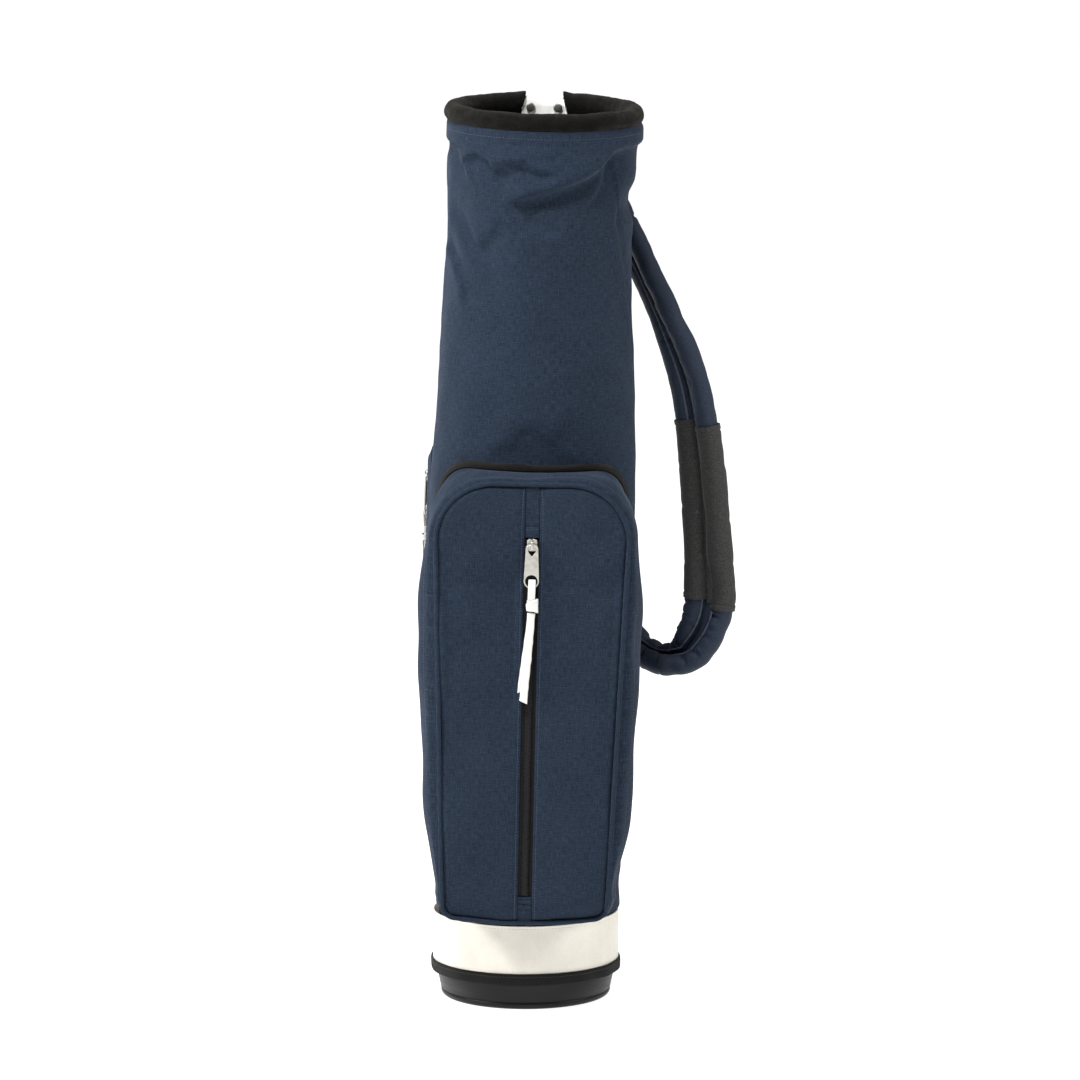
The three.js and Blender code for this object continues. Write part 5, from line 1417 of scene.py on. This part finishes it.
def make_tab():
    """A leather tab sewn outside the mouth, over the hoop and down inside, where it widens."""
    centre = RIM_CENTRE
    over = [(centre - 5.4 * math.cos(a) + 0.6,
             RIM_HEIGHT + 0.4 + 5.5 * math.sin(a)) for a in np.linspace(0.15, 2.6, 12)]
    inside = [(centre - 5.5, z) for z in (851, 858, 865, 872, 878)]
    outside = [(centre + 7.6, RIM_HEIGHT - 1), (centre + 8.0, 870), (centre + 8.0, 858),
               (centre + 7.9, 847), (centre + 7.8, 837)]
    line = np.array(inside + over + outside)
    run = np.concatenate([[0], np.cumsum(np.linalg.norm(np.diff(line, axis=0), axis=1))])
    s = np.linspace(0, run[-1], 90)
    reach, z = np.interp(s, run, line[:, 0]), np.interp(s, run, line[:, 1])
    half = np.where(reach < centre - 4, 19.2 + SLANT * (RIM_HEIGHT + 8 - z), 19.0)
    half = half - 3.2 * (1 - np.sqrt(np.clip(1 - (1 - np.clip((run[-1] - s) / 4, 0, 1)) ** 2, 0, 1)))
    x = np.linspace(-1, 1, 41)[None] * half[:, None]
    radius = reach[:, None] + 0.18 * ripple(np.stack([x, 0 * x, np.repeat(z[:, None], 41, 1)], -1), 171, 16)
    grid = np.stack([radius * np.sin(x / centre), radius * np.cos(x / centre),
                     np.repeat(z[:, None], 41, 1)], -1)
    # the tab's lighter colour is painted light
    surface("mouth_tab", grid, 1.5, UPPER, TAB_PAINTED_LIGHT, "shell", ["top_tab"])
    rows = []
    for k in (2, 38):
        line = grid[6:-4, k] + normals(grid)[6:-4, k] * 0.05
        rows.append((line, normals(grid)[6:-4, k]))
    stitches("mouth_tab_stitches", rows, UPPER, CREAM_THREAD, "shell", pitch=3.0, length=2.2,
             radius=0.28)
    for side, name in ((-1, "left"), (1, "right")):
        angle = side * 13.5 / 82
        reach = RIM_CENTRE - 5.5 - 1.6
        out = np.array([-math.sin(angle), -math.cos(angle), 0])
        at = np.array([reach * math.sin(angle), reach * math.cos(angle), RIM_HEIGHT - 4.8])
        stud(f"mouth_stud_{name}", UPPER, at, out, 4.5, 1.3, GUNMETAL, "shell",
             [f"tab_rivet_{name}"])


def on_back(across, height, off):
    """A point off the tube's back at a distance across from its middle line."""
    radius = back_radius(height) + off
    return np.stack(np.broadcast_arrays(sway(height) + radius * np.sin(across / radius),
                                        radius * np.cos(across / radius), height), -1)


def make_spine():
    height = np.linspace(92, 836, 190)
    across = np.linspace(STRIP_HALF, -STRIP_HALF, 25)
    end = np.minimum(height - 92, 836 - height)
    half = 1 - 0.16 * (1 - np.sqrt(np.clip(1 - (1 - np.clip(end / 5, 0, 1)) ** 2, 0, 1)))
    lie = 1.9 + 0.16 * ripple(np.stack([0 * height, 0 * height, height], -1), 181, 60)
    dip = -0.4 * np.exp(-((np.abs(across) - 15.4) / 0.8) ** 2) - 1.1 * smooth(17.6, 19, np.abs(across))
    grid = on_back(across[None] * half[:, None], height[:, None], lie[:, None] + dip[None])
    surface("back_strip", grid, 1.5, UPPER, VINYL, "shell", ["spine_strip"])
    rows = []
    z = np.linspace(97, 831, 240)
    for x in (-15.4, 15.4):
        line = on_back(x, z, 1.62)
        rows.append((line, np.broadcast_to([0.0, 1.0, 0.0], line.shape)))
    stitches("back_strip_stitches", rows, UPPER, CREAM_THREAD, "shell", pitch=3.6,
             length=2.7, radius=0.3)
    x = -SWAY / 2 * math.sin(math.pi * (378 - 86) / (TUBE_TOP - 86))
    z = np.linspace(56.3, 755.8, 30)
    rod = np.stack([np.full(30, x), np.full(30, 81.0), z], 1)
    _, side, face = frames(rod, (1, 0, 0))
    tube("back_rod", sweep_points(rod, side, face, 4, 16), UPPER, GLASS_ROD, "shell",
         ["spine_rod"])
    z = np.linspace(96, 740, 160)
    line = np.stack([np.full(160, x), np.full(160, 81.0), z], 1)
    _, side, face = frames(line, (1, 0, 0))
    sleeve = sweep_points(line, side, face, 5.8, 20)
    sleeve += 0.25 * ripple(sleeve, 191, 26)[..., None] * unit(sleeve - line[:, None])
    surface("back_sleeve", sleeve, 1.1, UPPER, LINING, "shell", ["spine_sleeve"], looped=True)


def make_haul_handle():
    foot = back_radius(706) + 2.7 + 1.5
    line = np.array([(foot, 560), (foot, 572), (foot + 0.4, 580), (foot + 8, 590), (foot + 19, 604),
                     (foot + 23.2, 618), (foot + 24.2, 633),
                     (foot + 23.2, 648), (foot + 19, 662), (foot + 8, 676), (foot + 0.4, 686), (foot, 694),
                     (foot, 706)])
    path = curve(np.stack([np.full(len(line), float(sway(633))), line[:, 0], line[:, 1]], 1),
                 np.linspace(0, 1, 110))
    end = np.minimum(path[:, 2] - 560, 706 - path[:, 2])
    width = 30 - 7 * (1 - np.sqrt(np.clip(1 - (1 - np.clip(end / 9, 0, 1)) ** 2, 0, 1)))
    sections = strap_sections(path, (1, 0, 0), width, 2.9, 36, 0.28)
    off = sections[..., 0] - path[:, None, 0]
    sections[..., 1] -= (off ** 2) / (2 * foot) * smooth(22, 6, end)[:, None]
    sections[..., 1] += 0.2 * ripple(sections, 201, 24)
    tube("grab_handle", sections, UPPER, VINYL, "shell", ["haul_handle"], sharp=40)
    rows = []
    for x in (-11.8, 11.8):
        keep = slice(7, -7)
        _, _, face = frames(path, (1, 0, 0))
        line = path[keep] + face[keep] * -1.4 + (x, 0, 0)
        line = line + np.stack([0 * end[keep], -(x ** 2) / (2 * foot) * smooth(22, 6, end[keep]),
                                0 * end[keep]], 1)
        rows.append((line, -face[keep]))
    stitches("grab_handle_stitches", rows, UPPER, CREAM_THREAD, "shell", pitch=3.4,
             length=2.5, radius=0.3)
    for height, name in ((570, "lower"), (696, "upper")):
        at = (float(sway(633)), foot + 1.5, height)
        stud(f"grab_stud_{name}", UPPER, at, (0, 1, 0), 4.5, 2.1, GUNMETAL, "shell",
             [f"handle_rivet_{name}"])


make_hoop()
make_tab()
make_spine()
make_haul_handle()


# ---------------------------------------------------------------- strap anchors
def folded_web(name, outline, height, x_shift, body, nodes, rows=()):
    """Webbing 24 mm wide folded along an outline in X-Y."""
    path = curve(np.array([(x + x_shift, y, height) for x, y in outline]), np.linspace(0, 1, 90))
    sections = strap_sections(path, (0, 0, 1), 24, 1.7, 28, 0.25)
    sections += 0.1 * ripple(sections, 211, 14)[..., None] * unit(sections - path[:, None])
    tube(name, sections, UPPER, WEBBING_ALONG, body, nodes, sharp=40)
    if rows:
        stitches(f"{name}_stitches", rows, UPPER, BLACK_THREAD, body, pitch=2.8, length=2.1,
                 radius=0.3)


def make_anchor(height, name):
    shift = float(sway(height))
    seat = float(back_radius(height)) + 3.4
    around_bar = [(4.15 * math.sin(a), ANCHOR_BAR
                   - 4.15 * math.cos(a)) for a in np.linspace(math.radians(38), math.radians(322), 14)]
    flat = [(x, seat * math.cos(x / seat)) for x in (18.6, 15, 10.5, 6.8)]
    outline = flat + [(4.0, seat + 0.2)] + around_bar + [(-4.0, seat + 0.2)]
    outline += [(-x, y) for x, y in flat[::-1]]
    rows = []
    for x in (-17, -9, 9, 17):
        at = (shift + x, seat * math.cos(x / seat) + 0.8)
        line = np.array([(*at, height + z) for z in np.linspace(-9.5, 9.5, 8)])
        rows.append((line, np.broadcast_to([0.0, 1.0, 0.0], line.shape)))
    folded_web(f"anchor_web_{name}", outline, height, shift, "shell", [f"anchor_patch_{name}"], rows)
    y0, y1, z0, z1, r = ANCHOR_BAR, STRAP_AXIS, height - 16, height + 16, 4
    corners = np.vstack([np.linspace((y0 + r, z0), (y1 - r, z0), 5)[:-1],
                         round_arc(y1 - r, z0 + r, r, -90, 0, 8),
                         np.linspace((y1, z0 + r), (y1, z1 - r), 8)[1:-1],
                         round_arc(y1 - r, z1 - r, r, 0, 90, 8),
                         np.linspace((y1 - r, z1), (y0 + r, z1), 5)[1:-1],
                         round_arc(y0 + r, z1 - r, r, 90, 180, 8),
                         np.linspace((y0, z1 - r), (y0, z0 + r), 8)[1:-1],
                         round_arc(y0 + r, z0 + r, r, 180, 270, 8)[:-1]])
    path = np.stack([0 * corners[:, 0], corners[:, 0], corners[:, 1]], 1)
    forward = unit(np.roll(path, -1, 0) - np.roll(path, 1, 0))
    side = np.broadcast_to([1.0, 0.0, 0.0], path.shape)
    tube(f"wire_ring_{name}", sweep_points(path, side, np.cross(forward, side), 2.5, 16), UPPER, NICKEL,
         "strap_rings",
         [f"anchor_ring_{name}"], closed=True)
    for side, hand in ((-1, "left"), (1, "right")):
        angle = side * 13 / seat
        reach = seat + 1.0
        at = (shift + reach * math.sin(angle), reach * math.cos(angle), height)
        stud(f"anchor_stud_{name}_{hand}", UPPER, at, (math.sin(angle), math.cos(angle), 0), 3.8, 1.8,
             GUNMETAL, "shell",
             [f"anchor_rivet_{name}_{hand}"])
    bends = np.linspace(math.radians(-58), math.radians(-302), 14)
    around_bar = [(WEB_LOOP * math.cos(a), STRAP_AXIS + WEB_LOOP * math.sin(a)) for a in bends]
    outline = [(38, 123.2), (28, 123.0), (16, 122.6), (9, 121.6), (5, 119.2)]
    outline += around_bar + [(5, 125.2), (12, 125.2), (26, 125.2), (38, 125.1)]
    rows = []
    for x in (10, 24):
        line = np.array([(x, 126.1, height + z) for z in np.linspace(-9.5, 9.5, 8)])
        rows.append((line, np.broadcast_to([0.0, 1.0, 0.0], line.shape)))
    folded_web(f"strap_end_{name}", outline, height, 0, "strap", [f"strap_tail_{name}"], rows)


make_anchor(STRAP_HIGH, "upper")
make_anchor(STRAP_LOW, "lower")


# ---------------------------------------------------------------- padded shoulder strap
# The line midway between the two padded tubes, and the direction from the inner to the outer one.
STRAP_LINE = [
    ((31, 124.5, 796), (0.1, -0.1, 1)), ((58, 117, 781), (0.4, -0.5, 0.75)),
    ((81, 104, 755), (0.4, -0.85, 0.3)), ((103, 91, 715), (0.35, -0.93, 0.1)),
    ((126, 82, 667), (0.45, -0.9, 0.1)), ((149, 77, 608), (0.67, -0.74, 0)),
    ((161, 75, 548), (0.71, -0.7, 0)), ((168, 75, 487), (0.76, -0.65, 0)),
    ((173, 75, 427), (0.83, -0.56, 0)), ((175, 76, 389), (0.95, -0.31, -0.05)),
    ((172, 77, 366), (0.93, -0.36, -0.05)), ((161, 80, 342), (0.78, -0.62, -0.1)),
    ((152, 84, 331), (0.62, -0.78, -0.05)), ((135, 92, 323.5), (0.32, -0.94, -0.1)),
    ((116, 104, 325), (0, -0.99, -0.15)), ((78, 120, 352), (-0.3, -0.75, -0.6)),
    ((32, 124.5, 383), (-0.1, -0.1, -1)),
]
# Where each grip starts and ends, as a share of the strap's line, and the side of it that each
# padded tube lies on.
GRIPS = {"front": (0.36, 0.588), "rear": (0.353, 0.566)}
HANDS = {"front": 1, "rear": -1}


def strap_frame(start, end, count, side=0):
    """Stations beside the strap's middle line, their distance along it and the outward direction."""
    t = np.linspace(start, end, count)
    middle = curve([p for p, _ in STRAP_LINE], t)
    out = curve([o for _, o in STRAP_LINE], t)
    forward = unit(np.gradient(middle, axis=0))
    out = unit(out - (out * forward).sum(1, keepdims=True) * forward)
    path = middle + side * STRAP_SPACING / 2 * out
    run = np.concatenate([[0], np.cumsum(np.linalg.norm(np.diff(path, axis=0), axis=1))])
    return path, run, out


def make_strap_tube(name):
    side = HANDS[name]
    count, sides = 340, 30
    path, run, out = strap_frame(0, 1, count, side)
    forward, across, face = frames(path, out)
    angle = np.arange(sides) / sides * TAU
    web = math.pi if side > 0 else 0.0
    rng = np.random.default_rng(7 if side > 0 else 9)
    radius = np.full((count, sides), STRAP_RADIUS + 0.4)
    facing = ((1 + np.cos(angle - web)) / 2)[None] ** 2
    for k in range(int(run[-1] / 28.5)):
        at = 16 + 28.5 * k + rng.uniform(-5, 5)
        lean = rng.uniform(-0.5, 0.5)
        radius -= 1.5 * facing * bump(run[:, None] + lean * STRAP_RADIUS * np.sin(angle)[None], at, 2.3)
        radius += 0.5 * facing * bump(run[:, None], at + 7, 6)
    turn = np.gradient(forward, axis=0) / np.maximum(np.gradient(run), 1e-6)[:, None]
    bend_angle = np.arctan2((turn * face).sum(1), (turn * across).sum(1))
    tight = smooth(0.004, 0.014, np.linalg.norm(turn, axis=1))
    inside = ((1 + np.cos(angle[None] - bend_angle[:, None])) / 2) ** 2
    for k in range(int(run[-1] / 21)):
        at = 8 + 21 * k + rng.uniform(-3, 3)
        radius -= 3.6 * tight[:, None] * inside * bump(run[:, None], at, 2.4)
        radius += 1.0 * tight[:, None] * inside * bump(run[:, None], at + 10, 6)
        radius -= 0.9 * tight[:, None] * (1 - inside) * bump(run[:, None], at + 10, 7)
    shape = sweep_points(path, across, face, radius, sides)
    radius += 0.38 * ripple(shape, 221 + side, 46) + 0.16 * ripple(shape, 223 + side, 15)
    end = np.minimum(run, run[-1] - run)[:, None]
    radius *= np.sqrt(np.clip(1 - (1 - np.clip(end / 5 + 0.04, 0, 1)) ** 2, 0, 1))
    flat = 0.45 + 0.55 * smooth(4, 34, end)
    shape = (path[:, None] + (radius * np.cos(angle)[None])[..., None] * across[:, None]
             + (radius * np.sin(angle)[None] * flat)[..., None] * face[:, None])
    padding = tube(f"padded_tube_{name}", shape, UPPER, STRAP_CLOTH, "strap",
                   [f"strap_tube_{name}"], sharp=60)
    seam = []
    for tilt in (-1, 1):
        a = web + tilt * 0.62 * side
        line = path + (STRAP_RADIUS + 0.75) * (math.cos(a) * across + math.sin(a) * face)
        line = line[8:-8]
        _, u, v = frames(line, (0.3, -1, 0.2))
        seam.append(tube_part(sweep_points(line, u, v, 0.95 + 0.12 * np.sin(run[8:-8] / 1.1)[:, None], 8)))
    joined(f"strap_piping_{name}", seam, UPPER, STRAP_PIPING, "strap")


def make_web():
    path, run, out = strap_frame(0.004, 0.996, 260)
    sections = strap_sections(path, out, 17, 1.9, 20, 0.3)
    sections += 0.2 * ripple(sections, 231, 20)[..., None] * unit(sections - path[:, None])
    tube("strap_middle", sections, UPPER, STRAP_CLOTH, "strap", ["strap_web"], sharp=60)
    path, run, out = strap_frame(0.357, 0.575, 90)
    sections = strap_sections(path, out, 6.6, 4.6, 20, 0.5)
    tube("grip_middle", sections, UPPER, GRIP, "strap", sharp=60)


def make_grip(name):
    side = HANDS[name]
    start, end = GRIPS[name]
    count, sides = 110, 40
    path, run, out = strap_frame(start, end, count, side)
    _, across, face = frames(path, out)
    angle = np.arange(sides) / sides * TAU
    tip = np.minimum(run, run[-1] - run)[:, None]
    radius = GRIP_RADIUS + 0.1 + 0.5 * smooth(5.6, 4.6, tip) - 0.5 * bump(tip, 6.2, 0.8) + 0 * angle[None]
    shape = sweep_points(path, across, face, radius, sides)
    radius = radius + 0.32 * ripple(shape, 241 + side, 52) + 0.12 * ripple(shape, 243, 17)
    for at, lean in ((0.24, 0.5), (0.5, -0.4), (0.78, 0.6)):
        radius = radius - 0.55 * bump(run[:, None] + lean * 9 * np.cos(angle)[None], at * run[-1], 3.0)
    shape = sweep_points(path, across, face, radius, sides)
    surface(f"grip_{name}", shape, 1.5, UPPER, GRIP, "strap", [f"grip_sleeve_{name}"],
            looped=True)
    rows = []
    for k in (3, count - 4):
        ring = np.vstack([shape[k], shape[k][:1]])
        rows.append((ring, unit(ring - path[k])))
    stitches(f"grip_stitches_{name}", rows, UPPER, BLACK_THREAD, "strap", pitch=3.2,
             length=2.3, radius=0.3)


make_strap_tube("front")
make_strap_tube("rear")
make_web()
make_grip("front")
make_grip("rear")


# ---------------------------------------------------------------- floor, light and finish
def add_floor():
    """A plain pale floor that glows softly, as a light table does."""
    mesh = bpy.data.meshes.new("floor")
    mesh.from_pydata([(-40, -40, 0), (40, -40, 0), (40, 40, 0), (-40, 40, 0)], [], [(0, 1, 2, 3)])
    finish = Finish("floor_paint", Roughness=0.75, Specular_IOR_Level=0.1)
    finish.shader.inputs["Emission Color"].default_value = (1, 1, 1, 1)
    here = finish.here()
    finish.set(Emission_Strength=0.85)
    grain = finish.noise(here, scale=3, detail=3)
    pale = finish.maths("MULTIPLY_ADD", grain, 0.02, 0.6)
    finish.set(Base_Color=finish.node("ShaderNodeCombineColor", {0: pale, 1: pale, 2: pale}))
    mesh.materials.append(finish.material)
    floor = bpy.data.objects.new("floor", mesh)
    bpy.context.scene.collection.objects.link(floor)


def add_area(name, place_at, aim, size, power):
    data = bpy.data.lights.new(name, "AREA")
    data.size = size
    data.energy = power
    light = bpy.data.objects.new(name, data)
    light.location = place_at
    light.rotation_euler = (Vector(aim) - Vector(place_at)).to_track_quat("-Z", "Y").to_euler()
    bpy.context.scene.collection.objects.link(light)


def add_lights():
    world = bpy.data.worlds.new("studio")
    bpy.context.scene.world = world
    world.use_nodes = True
    world.node_tree.nodes["Background"].inputs[0].default_value = (1, 1, 1, 1)
    world.node_tree.nodes["Background"].inputs[1].default_value = 0.22
    add_area("key", (-3.2, -0.85, 2.5), (0, 0, 0.5), 1.0, 135)
    add_area("fill", (3.0, -0.7, 2.2), (0, 0, 0.45), 1.2, 48)
    add_area("top", (-0.6, -1.5, 3.5), (0, 0, 0.5), 0.8, 118)
    bpy.context.scene.view_settings.view_transform = "Standard"


add_floor()
add_lights()
